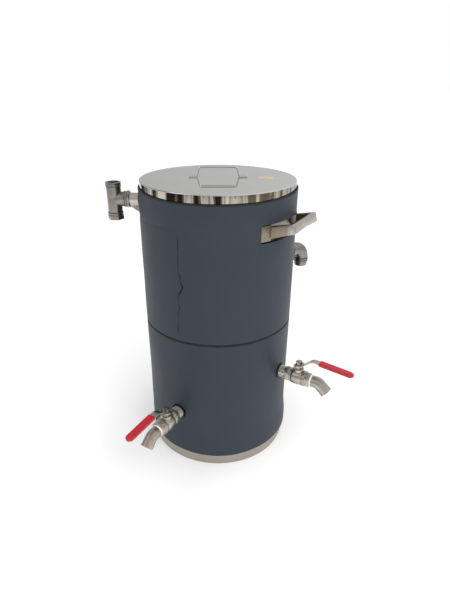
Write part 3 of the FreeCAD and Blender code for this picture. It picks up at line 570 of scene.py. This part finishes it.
skirt_painted_reflection, tree, shader = new_material("skirt_painted_reflection")
# Painted reflection: a ramp of dark, brown and pale patches round the skirt stands in for the room mirrored
# in it.
patches = noise_node(tree, stretched(tree, own_spot(tree), (52.0, 52.0, 4.0)), 1.0, 0.6)
painted_room_reflection = add_node(tree, "ShaderNodeValToRGB", {"Fac": patches})
stops = painted_room_reflection.color_ramp.elements
stops[0].position, stops[0].color = 0.36, (0.012, 0.011, 0.010, 1)
stops[1].position, stops[1].color = 0.66, (0.52, 0.47, 0.40, 1)
for place, colour in (
        (0.40, (0.09, 0.065, 0.045, 1)), (0.47, (0.14, 0.11, 0.08, 1)), (0.485, (0.40, 0.35, 0.28, 1)),
        (0.54, (0.30, 0.27, 0.235, 1)), (0.56, (0.17, 0.145, 0.12, 1)), (0.60, (0.34, 0.32, 0.30, 1))):
    stops.new(place).color = colour
finish_surface(tree, shader, painted_room_reflection.outputs["Color"],
               spread(tree, marked(tree, 18.0, 900.0)["Smudge"], 0.04, 0.10))

lid = put_piece("lid_cover", *loft(rings, loop=True), "lid", "lid_steel", [lid_steel, skirt_painted_reflection], 25.0)
for face in lid.data.polygons:
    centre = face.center
    if lid_base < centre.z < lid_top - lid_round and centre.xy.length > lid_reach - 0.0006:
        face.material_index = 1
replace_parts(lid, "lid")

# ---------------------------------------------------------------- strap handle and paper dot
# The strap handle is a flat bar bent to a low bridge and spot welded to the lid by its two feet.
# A yellow paper dot, rubbed and faded, is stuck beside it.
strap_turn, foot_reach, weld_apart, strap_thick = math.radians(32.5), 0.0535, 0.006, 0.0020
strap_steel, tree, shader = new_material("strap_steel")
marks = marked(tree, 16.0, 800.0)
upper_side = blend_colours(tree, spread(tree, marks["Smudge"]), (0.56, 0.56, 0.56, 1), (0.64, 0.64, 0.635, 1))
# Painted light: faces turned down get a much paler colour than the upper side, so the strap's underside is
# painted lighter.
facing = add_node(tree, "ShaderNodeNewGeometry").outputs["Normal"]
facing_up = add_node(tree, "ShaderNodeSeparateXYZ", {0: facing}).outputs["Z"]
painted_underside_light = spread(tree, facing_up, 1.0, 0.0, -0.9, -0.7)
finish_surface(tree, shader, blend_colours(tree, painted_underside_light, upper_side, (0.90, 0.90, 0.89, 1)),
               spread(tree, marks["Smudge"], 0.04, 0.09), marks["Grit"], 0.1)
finish_nodes(strap_steel, "lid_handle")


def weld_spot(spot, out, radius, height):
    """A low domed weld spot standing on a surface, its foot sunk a little into it."""
    side, sunk = out.orthogonal().normalized(), 0.0003
    other = out.cross(side)
    rings = []
    for step in range(6):
        angle = math.radians(step * 17)
        level = spot - out * sunk + out * (height + sunk) * math.sin(angle)
        rings.append([level + radius * math.cos(angle) * (side * c + other * s) for c, s in circle(16)])
    return loft(rings, cap=True)


strap_middle, up = middle_of("lid_handle"), Vector((0, 0, 1))
strap_run = Vector((math.cos(strap_turn), math.sin(strap_turn), 0))
points, faces = [], []
for along in (-foot_reach, foot_reach):
    for across in (-weld_apart, weld_apart):
        spot = Vector((strap_middle.x, strap_middle.y, lid_top + strap_thick)) + strap_run * along
        add_shape(points, faces, weld_spot(spot + strap_run.cross(up) * across, up, 0.0026, 0.0007))
put_piece("strap_welds", points, faces, "lid", "lid_steel", [strap_steel], 50.0)

sticker_paper, tree, shader = new_material("sticker_paper", metallic=0.0)
marks = marked(tree, 60.0, 1500.0)
apart = vector_measure(tree, "DISTANCE", own_spot(tree), middle_of("lid_sticker"))
edge = math_node(tree, "MULTIPLY_ADD", marks["Smudge"], 0.022, apart)
worn = spread(tree, edge, 0.0, 1.0, 0.017, 0.0255)
finish_surface(tree, shader, blend_colours(tree, worn, (0.50, 0.37, 0.09, 1), (0.43, 0.42, 0.39, 1)),
               spread(tree, marks["Smudge"], 0.45, 0.65))
finish_nodes(sticker_paper, "lid_sticker")

# ---------------------------------------------------------------- side handles
# Each is one strip pressed to a shallow channel and bent to a loop, its flanges turned in to the
# hand. The loop rises outward and narrows in the middle of the grip; its feet are spot welded.
handle_tilt = math.radians(16.0)
handle_height, handle_pivot = 0.5626, 0.158
grip_face, grip_half, leg_root, leg_splay = 0.208, 0.058, 0.118, 0.00525
sheet, flange = 0.0015, 0.009
leg_half, corner_half, waist_half, bend_round = 0.012, 0.0098, 0.0082, 0.0055
narrowing_start = 0.162
leg_end, foot_back, foot_face, foot_half, foot_edge = 0.1632, 0.1631, 0.1708, 0.0159, 0.0018
foot_turns, foot_arc, foot_round = ((20.0, 28.4), (-28.4, -20.0)), 0.17, 0.0016
foot_weld_turns, foot_weld_heights = (22.6, 26.0, -22.6, -26.0), (-0.0085, 0.0085)


def channel_outline(half):
    """A channel's section, 24 points: x runs out from the loop, y is along the pot's height."""
    edge, inner = 0.0022, 0.0009
    arc = [math.radians(step * 22.5) for step in range(5)]
    outside = [(-flange, -half)]
    outside += [(-edge + edge * math.sin(a), -half + edge - edge * math.cos(a)) for a in arc]
    outside += [(-edge + edge * math.cos(a), half - edge + edge * math.sin(a)) for a in arc]
    inset, bend = half - sheet, -sheet - inner
    inside = [(-flange, half), (-flange, inset)]
    inside += [(bend + inner * math.sin(a), inset - inner + inner * math.cos(a)) for a in arc]
    inside += [(bend + inner * math.cos(a), -inset + inner - inner * math.sin(a)) for a in arc]
    return outside + inside + [(-flange, -inset)]


def loop_stations():
    """Places along the loop: point, outward direction and half height."""
    splay = math.atan2(leg_splay, grip_face - leg_root)
    stations = []
    for step in range(9):
        x = leg_root + 0.02 + (grip_face - bend_round - leg_root - 0.02) * step / 8
        y = -grip_half - leg_splay * (grip_face - x) / (grip_face - leg_root)
        fall = clamp((x - narrowing_start) / (grip_face - flange - narrowing_start))
        stations.append((Vector((x, y)), -math.pi / 2 - splay, leg_half + (corner_half - leg_half) * fall))
    centre = Vector((grip_face - bend_round, -grip_half + bend_round))
    for step in range(1, 8):
        angle = -math.pi / 2 - splay + (math.pi / 2 + splay) * step / 8
        spot = centre + bend_round * Vector((math.cos(angle), math.sin(angle)))
        stations.append((spot, angle, corner_half))
    for step in range(13):
        y = (-grip_half + bend_round) * (1 - step / 12)
        narrow = ease(max(0.0, 1 - abs(y) / (grip_half - flange)))
        stations.append((Vector((grip_face, y)), 0.0, corner_half + (waist_half - corner_half) * narrow))
    mirror = [(Vector((spot.x, -spot.y)), -angle, half) for spot, angle, half in stations[:-1]]
    return stations + mirror[::-1]


def side_handle(name, node, side):
    """A channel loop, its inside painted dark as shade, with two curved feet and their weld spots."""
    facing = Matrix.Rotation(0 if side > 0 else math.pi, 4, "Z") @ Matrix.Translation((0, 0, handle_height))
    tilt = (Matrix.Translation((handle_pivot, 0, 0)) @ Matrix.Rotation(-handle_tilt, 4, "Y")
            @ Matrix.Translation((-handle_pivot, 0, 0)))
    rings = []
    for spot, angle, half in loop_stations():
        outward = Vector((math.cos(angle), math.sin(angle), 0))
        rings.append([facing @ tilt @ (Vector((spot.x, spot.y, 0)) + outward * x + Vector((0, 0, y)))
                      for x, y in channel_outline(half)])
    points, faces = loft(rings, cap=True)
    first_inside, last_inside, count = 12, 22, len(rings[0])
    lined = [index for index in range(len(faces) - 2) if first_inside <= index % count <= last_inside]
    points = [point if point.xy.length > leg_end else Vector((*(point.xy.normalized() * leg_end), point.z))
              for point in points]
    for start, end in foot_turns:
        foot = []
        for step in range(13):
            turn = math.radians(start + (end - start) * step / 12)
            near = min(step, 12 - step) / 12 * math.radians(end - start) * foot_arc
            drop = foot_round * (1 - math.sqrt(max(0.0, 1 - (1 - min(1.0, near / foot_round)) ** 2)))
            reach, half, edge = foot_face - drop, foot_half, foot_edge
            section = [(foot_back, -half), (reach - edge, -half), (reach - edge * 0.3, -half + edge * 0.3),
                       (reach, -half + edge), (reach, half - edge), (reach - edge * 0.3, half - edge * 0.3),
                       (reach - edge, half), (foot_back, half)]
            foot.append([facing @ Vector((r * math.cos(turn), r * math.sin(turn), z)) for r, z in section])
        add_shape(points, faces, loft(foot, cap=True))
    for turn in map(math.radians, foot_weld_turns):
        for z in foot_weld_heights:
            spot = facing @ Vector((foot_face * math.cos(turn), foot_face * math.sin(turn), z))
            add_shape(points, faces, weld_spot(spot, outward_at(spot), 0.0024, 0.0005))
    handle = put_piece(name, points, faces, "pot", "handle_steel", [handle_steel, handle_inside_painted_shade], 32.0, lined)
    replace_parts(handle, node)


handle_steel, tree, shader = new_material("handle_steel")
spot = own_spot(tree)
lines = noise_node(tree, stretched(tree, spot, (60.0, 60.0, 900.0)), 1.0, 3.0, 0.6)
tone = spread(tree, marked(tree, 22.0, 900.0)["Smudge"])
# Painted light and shade: the same steel is given a dark brown on the legs and a pale grey on the grip, by
# distance out from the pot, standing in for the legs' shade and dark reflections and the grip's light.
legs_painted_shade = blend_colours(tree, tone, (0.22, 0.175, 0.135, 1), (0.29, 0.24, 0.195, 1))
grip = blend_colours(tree, tone, (0.42, 0.39, 0.35, 1), (0.54, 0.51, 0.47, 1))
out = math_node(tree, "ABSOLUTE", add_node(tree, "ShaderNodeSeparateXYZ", {0: spot}).outputs["X"])
finish_surface(tree, shader, blend_colours(tree, spread(tree, out, 0.0, 1.0, 0.190, 0.202), legs_painted_shade, grip),
               spread(tree, lines, 0.24, 0.38), lines, 0.25)

# Painted shade: the channel's inside faces get a dark brown, standing in for the shade inside the pressed
# channel.
handle_inside_painted_shade, tree, shader = new_material("handle_inside_painted_shade")
marks = marked(tree, 30.0, 1200.0)
dark_brown_tone = blend_colours(tree, spread(tree, marks["Smudge"]), (0.085, 0.060, 0.040, 1), (0.15, 0.112, 0.080, 1))
finish_surface(tree, shader, dark_brown_tone, spread(tree, marks["Grit"], 0.34, 0.50), marks["Grit"], 0.3)
side_handle("side_loop_right", "side_handle_right", 1)
side_handle("side_loop_left", "side_handle_left", -1)

# ---------------------------------------------------------------- ball valves
# Two cast stainless ball valves on bright threaded nipples, each with a bent spout. The castings
# and nuts are a warm grey with a fine pebbled skin, the seals and thread tape are white, and the
# levers wear a thick red dipped sleeve.


def cast_steel(name, dark, pale, smooth, rough, depth):
    material, tree, shader = new_material(name)
    marks = marked(tree, 45.0, 1600.0)
    tone = spread(tree, marks["Smudge"], start=0.3, end=0.7)
    finish_surface(tree, shader, blend_colours(tree, tone, (*dark, 1), (*pale, 1)),
                   spread(tree, marks["Grit"], smooth, rough, 0.3, 0.7), marks["Grit"], 0.5, depth)
    return material


fitting_steel = cast_steel("fitting_steel", (0.38, 0.35, 0.30), (0.56, 0.52, 0.45), 0.28, 0.44, 0.00016)
elbow_steel = cast_steel("elbow_steel", (0.20, 0.185, 0.165), (0.34, 0.315, 0.285), 0.26, 0.40, 0.00014)
nipple_steel = cast_steel("nipple_steel", (0.50, 0.48, 0.45), (0.64, 0.62, 0.59), 0.12, 0.22, 0.00002)
lever_steel = cast_steel("lever_steel", (0.40, 0.37, 0.33), (0.54, 0.51, 0.47), 0.24, 0.36, 0.00004)
ball_steel = cast_steel("ball_steel", (0.62, 0.62, 0.62), (0.72, 0.72, 0.72), 0.05, 0.10, 0.00001)
spout_steel = cast_steel("spout_steel", (0.34, 0.31, 0.27), (0.52, 0.48, 0.42), 0.28, 0.44, 0.00012)

white_seal, tree, shader = new_material("white_seal", metallic=0.0)
marks = marked(tree, 120.0, 2400.0)
white = blend_colours(tree, marks["Smudge"], (0.74, 0.74, 0.72, 1), (0.88, 0.88, 0.87, 1))
finish_surface(tree, shader, white, spread(tree, marks["Smudge"], 0.40, 0.60), marks["Grit"], 0.4)

red_sleeve, tree, shader = new_material("red_sleeve", metallic=0.0, coat=0.1)
marks = marked(tree, 60.0, 1300.0)
red = blend_colours(tree, spread(tree, marks["Smudge"]), (0.36, 0.003, 0.010, 1), (0.42, 0.006, 0.015, 1))
finish_surface(tree, shader, red, spread(tree, marks["Smudge"], 0.28, 0.42), marks["Grit"], 0.25)

# Distances out along a valve are from the pot's middle line; the ball's centre is at ball_reach.
ball_reach, way, seat_pocket, pipe_thread, hex_flats = 0.217, 0.0095, 0.0146, 0.0131, 0.031
joints = {joint["name"]: joint for joint in frame["record"]["behaviour"]["joints"]}


def valve_place(letter):
    """The valve's own frame: origin at the ball, X out of the pot, Z up its stem."""
    joint = joints[f"valve_{letter}_lever_turn"]
    origin, up = Vector(joint["pos_m"]), Vector(joint["axis"]).normalized()
    out = outward_at(origin)
    place = Matrix((out, up.cross(out), up)).transposed().to_4x4()
    place.translation = origin
    return place


def facing_out(centre, reach=0.0):
    """A frame reach out from the pot's middle line, at centre's height, its X pointing out through centre."""
    place = Matrix.Rotation(math.atan2(centre.y, centre.x), 4, "Z")
    place.translation = outward_at(centre) * reach + Vector((0, 0, centre.z))
    return place


def rounded_section(half_width, half_depth, power):
    """A soft-cornered section: width along y, depth along z."""
    return [(half_width * math.copysign(abs(c) ** power, c), half_depth * math.copysign(abs(s) ** power, s))
            for c, s in circle(40)]


def dipped_sleeve(letter):
    """The red sleeve: a thick dipped skin with a rounded tip and a blank sunk panel on each side."""
    start, length, half_width, half_depth = 0.0475, 0.0775, 0.0090, 0.0042
    kink, kink_height, slope = 0.0354, 0.0524, math.atan2(0.0060, 0.0836)
    panel_start, panel_end, panel_half, panel_edge, panel_depth = 0.014, 0.060, 0.0052, 0.002, 0.0004
    along = (valve_place(letter) @ Matrix.Translation((kink, 0, kink_height)) @ Matrix.Rotation(slope, 4, "Y")
             @ Matrix.Translation((start - kink, 0, 0)))
    stations = [(0.004, 0.0071, 0.0013, 0.3), (0.0, 0.0071, 0.0013, 0.3), (0.0, 0.0080, 0.0030, 0.45),
                (0.0005, 0.0086, 0.0038, 0.5)]
    stations += [(0.0015 + 0.0665 * step / 24, half_width, half_depth, 0.55) for step in range(25)]
    for step in range(1, 10):
        angle = math.radians(step * 10)
        stations.append((0.068 + 0.0095 * math.sin(angle), half_width * math.cos(angle),
                         half_depth * math.cos(angle) ** 0.6, 0.55 + 0.45 * step / 9))
    stations.append((length, 0.0002, 0.0002, 1.0))
    rings = []
    for x, wide, deep, power in stations:
        ring = []
        for y, z in rounded_section(wide, deep, power):
            panel = clamp((x - panel_start) / panel_edge) * clamp((panel_end - x) / panel_edge)
            panel *= clamp((panel_half - abs(y)) / (panel_edge / 2))
            ring.append(along @ Vector((x, y, z - math.copysign(panel_depth * panel, z))))
        rings.append(ring)
    sleeve = put_piece(f"dipped_sleeve_{letter}", *loft(rings, cap=True), f"valve_{letter}_lever",
                       "lever_red", [red_sleeve], 50.0)
    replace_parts(sleeve, f"lever_sleeve_{letter}")


def bent_spout(letter, place):
    """A short bent tube: threaded neck, a drop bend and a slightly flared, rounded mouth."""
    start, bend_start, bend, drop, straight = 0.2365, 0.2602, 0.017, math.radians(42), 0.0197
    tube, bore = 0.0135, 0.0112
    neck = ((start, pipe_thread), (0.2505, pipe_thread), (0.2508, 0.0128), (0.2540, 0.0128),
            (0.2580, 0.0134), (bend_start, tube))
    path = [(Vector((x, 0, 0)), 0.0, radius) for x, radius in neck]
    for step in range(1, 15):
        angle = drop * step / 14
        spot = Vector((bend_start + bend * math.sin(angle), 0, -bend * (1 - math.cos(angle))))
        path.append((spot, angle, tube))
    tip = path[-1][0]
    run = Vector((math.cos(drop), 0, -math.sin(drop)))
    mouth, flare, mouth_step = tip + run * straight, 0.0005, 6.15
    for step in range(1, 7):
        path.append((tip + run * straight * step / mouth_step, drop, tube + flare * (step / 6) ** 2))
    path += [(mouth - run * 0.0001, drop, 0.0137), (mouth, drop, 0.0133), (mouth, drop, 0.0120),
             (mouth - run * 0.0004, drop, bore)]
    path += [(spot, angle, bore) for spot, angle, radius in path[-6:2:-1]]
    path.append((Vector((start, 0, 0)), 0.0, bore))
    rings = []
    for spot, angle, radius in path:
        up = Vector((math.sin(angle), 0, math.cos(angle)))
        rings.append([place @ (spot + radius * (up * c + Vector((0, 1, 0)) * s)) for c, s in circle(64)])
    spout = put_piece(f"bent_spout_{letter}", *loft(rings, loop=True), "pot", "nipple_steel",
                      [spout_steel], 40.0)
    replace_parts(spout, f"spout_{letter}")


def thread_tape(letter, place):
    """Thread tape squeezed out between the valve and the spout: overlapping wraps, ragged at the edge."""
    under = 0.01312
    rings = []
    for c, s in circle(120):
        ragged = 0.0004 * ripple(c * 6, s * 6, ord(letter))
        thick = 0.0002 * ripple(c * 3, s * 3, 5 + ord(letter))
        section = [(0.2474, under), (0.2474, 0.0137 + thick), (0.2480 + ragged, 0.0140 + thick),
                   (0.2488, 0.01385 + thick), (0.2494 + ragged, 0.01405 + thick), (0.2501, 0.01375),
                   (0.2509 + ragged, 0.0138 + thick), (0.2512 + ragged * 2, 0.01345), (0.2511, under)]
        rings.append([place @ Vector((x, r * c, r * s)) for x, r in section])
    tape = put_piece(f"tape_wraps_{letter}", *loft(rings, loop=True), "pot", "ptfe_white", [white_seal], 60.0)
    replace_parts(tape, f"thread_tape_{letter}")


def hex_reach(flats, turn, corner):
    """Distance from the axis to a hexagon's side, its corners turned down to a circle."""
    inside = (turn + math.pi / 6) % (math.pi / 3) - math.pi / 6
    return min(flats / 2 / math.cos(inside), corner)


def turned_casting(place, profile):
    """A closed section swept round local X: each station is x, radius and, where hexagonal, its flats."""
    rings = []
    for step in range(96):
        turn = step * math.tau / 96
        ring = []
        for x, radius, *flats in profile:
            reach = hex_reach(*flats, turn, radius) if flats else radius
            ring.append(place @ Vector((x - ball_reach, reach * math.cos(turn), reach * math.sin(turn))))
        rings.append(ring)
    return loft(rings, loop=True)


def turned_ring(place, section, count):
    """A closed section of height and radius swept round local Z."""
    return loft([[place @ Vector((r * c, r * s, z)) for z, r in section] for c, s in circle(count)],
                loop=True)


def round_bar(place, radius, start, end, edge=0.0):
    """A round bar or disc along local Z with its upper edge eased."""
    stations = [(start, radius), (end - edge, radius)]
    if edge:
        stations += [(end - edge * 0.3, radius - edge * 0.3), (end, radius - edge)]
    return loft([[place @ Vector((r * c, r * s, z)) for c, s in circle(40)] for z, r in stations], cap=True)


def cast_body(letter, place):
    """Valve body: hexagon inlet, neck with a bead, swelling barrel, stem boss on a pad with a stop post."""
    corner, barrel, flange_round = 0.0172, 0.01795, 0.0178
    profile = [(0.1870, pipe_thread), (0.1870, 0.0150), (0.1882, corner, hex_flats),
               (0.1968, corner, hex_flats), (0.1980, 0.0152), (0.1990, 0.0149), (0.1996, 0.0160),
               (0.2004, 0.0166), (0.2014, 0.0166), (0.2021, 0.0160), (0.2028, 0.0159), (0.2052, 0.0174),
               (0.2085, barrel), (0.2225, barrel), (0.2262, 0.0172), (0.2280, 0.0163), (0.2288, 0.0164),
               (0.2294, 0.0176), (0.2302, flange_round), (0.2330, flange_round),
               (0.2330, seat_pocket), (0.2030, seat_pocket),
               (0.2030, way), (0.1990, way), (0.1990, pipe_thread)]
    boss, pad, stem_hole, packing_hole = 0.0095, 0.0120, 0.00555, 0.0080
    post_reach, post_turn = 0.0106, math.radians(222)
    post = place @ Matrix.Translation((post_reach * math.cos(post_turn), post_reach * math.sin(post_turn), 0))
    steps = [("UNION", round_bar(place, boss, 0.0166, 0.0232, 0.0006)),
             ("UNION", round_bar(place, pad, 0.0160, 0.0235, 0.0010)),
             ("UNION", round_bar(post, 0.0020, 0.0195, 0.0337, 0.0004)),
             ("DIFFERENCE", round_bar(place, packing_hole, 0.0166, 0.0260)),
             ("DIFFERENCE", round_bar(place, stem_hole, 0.0080, 0.0260))]
    mesh = carve(f"cast_body_{letter}", cutter_solid(*turned_casting(place, profile)),
                 [(operation, cutter_solid(*solid)) for operation, solid in steps], [fitting_steel])
    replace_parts(put_mesh(f"cast_body_{letter}", mesh, "pot", 30.0), f"valve_body_{letter}")


def cast_cap(letter, place):
    """End cap: round flange against the body, hexagon with turned corners, threaded outlet."""
    corner, flange_round, spigot = 0.0171, 0.0178, 0.01455
    profile = [(0.2331, flange_round), (0.2356, flange_round), (0.2364, 0.0170), (0.2368, 0.0158),
               (0.2374, 0.0158), (0.2380, corner, hex_flats), (0.2455, corner, hex_flats), (0.2466, 0.0156),
               (0.2475, 0.0150), (0.2475, pipe_thread), (0.2355, pipe_thread), (0.2355, way), (0.2310, way),
               (0.2310, spigot), (0.2331, spigot)]
    cap = put_piece(f"cast_cap_{letter}", *turned_casting(place, profile), "pot", "fitting_steel",
                    [fitting_steel], 30.0)
    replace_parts(cap, f"valve_end_cap_{letter}")


def ring_set(name, rings, material, slot):
    """Raised or sunk rings round pipes: place (axis local Z), height along it, radius, half width, rise."""
    points, faces = [], []
    for place, z, radius, half, rise in rings:
        base = radius - math.copysign(0.0004, rise)
        arc = [math.radians(step * 30) for step in range(7)]
        section = [(z - half, base)]
        section += [(z - half * math.cos(angle), radius + rise * math.sin(angle)) for angle in arc]
        add_shape(points, faces, turned_ring(place, section + [(z + half, base)], 64))
    put_piece(name, points, faces, "pot", slot, [material], 50.0)


for letter in ("a", "b"):
    finish_nodes(fitting_steel, f"packing_nut_{letter}")
    cast_body(letter, valve_place(letter))
    cast_cap(letter, valve_place(letter))
    finish_nodes(nipple_steel, f"port_nipple_{letter}")
    finish_nodes(lever_steel, f"stem_{letter}", f"lever_{letter}", f"lever_washer_{letter}",
                 f"lever_nut_{letter}")
    finish_nodes(ball_steel, f"ball_{letter}")
    finish_nodes(white_seal, f"seat_rings_{letter}", f"stem_packing_{letter}")
    dipped_sleeve(letter)
    level = facing_out(valve_place(letter).translation)
    bent_spout(letter, level)
    thread_tape(letter, level)
    pipe = level @ Matrix.Rotation(math.radians(90), 4, "Y")
    threads = [(pipe, 0.1736 + 0.0018 * step, 0.0135, 0.0007, 0.0005) for step in range(7)]
    ring_set(f"nipple_threads_{letter}", threads, nipple_steel, "nipple_steel")

# ---------------------------------------------------------------- tee and elbow
# A cast tee stands beside the rim on a polished nipple with a lock nut, its top open and threaded,
# with a hexagon bush below. A cast elbow behind the right handle turns down to a round grooved bush.
# The tee's ends and the elbow's outlet have a pair of raised rings each, with thin dark rings beside them
# that are painted shade for the grooves' shadow.
finish_nodes(elbow_steel, "tee", "tee_lock_nut", "tee_outlet_bush", "elbow")
finish_nodes(lever_steel, "tee_nipple", "elbow_nipple")


def pipe_frame(node, reach, flat):
    """Frame on a port's pipe, reach out from the pot; its Z runs along the pipe if flat, else up."""
    place = facing_out(middle_of(node), reach)
    return place @ Matrix.Rotation(math.radians(90), 4, "Y") if flat else place


run = pipe_frame("port_socket_tee", 0.225, False)
branch = pipe_frame("port_socket_tee", 0.196, True)
drop = pipe_frame("port_socket_elbow", 0.246, False)
ring_set("tee_rings", [(run, z, 0.0158, 0.0012, 0.0011) for z in (0.0353, 0.0295, -0.0295, -0.0353)]
         + [(branch, z, 0.0165, 0.0010, 0.0009) for z in (0.0010, 0.0060)]
         + [(run, 0.0352 - 0.0018 * step, 0.0122, 0.0008, -0.0008) for step in range(7)]
         + [(drop, z, 0.0177, 0.0013, 0.0010) for z in (-0.0318, -0.0262)], elbow_steel, "fitting_steel")
# Painted shade: thin rings of the dark socket material stand in for the shadow in the grooves beside the
# raised rings.
ring_set("tee_groove_shade_lines", [(run, z, 0.0160, 0.0004, 0.0002) for z in (0.0333, 0.0275, -0.0275, -0.0333)]
         + [(branch, 0.0042, 0.0167, 0.0004, 0.0002)]
         + [(drop, z, 0.0179, 0.0005, 0.0002) for z in (-0.0298, -0.0240)], dark_socket_and_groove_shade, "fitting_steel")

bush_round, groove_round, bush_eased = 0.0163, 0.0157, 0.0148
bush_end = drop @ Matrix.Translation((0, 0, -0.045))
profile = [(0.0, way), (0.0, bush_eased), (0.0008, groove_round), (0.0040, bush_round), (0.0085, bush_round),
           (0.0092, groove_round), (0.0100, groove_round), (0.0106, bush_round), (0.0118, bush_round),
           (0.0118, pipe_thread), (0.0238, pipe_thread), (0.0238, way)]
bush = put_piece("round_bush", *turned_ring(bush_end, profile, 72), "pot", "fitting_steel",
                 [elbow_steel], 35.0)
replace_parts(bush, "elbow_outlet_bush")
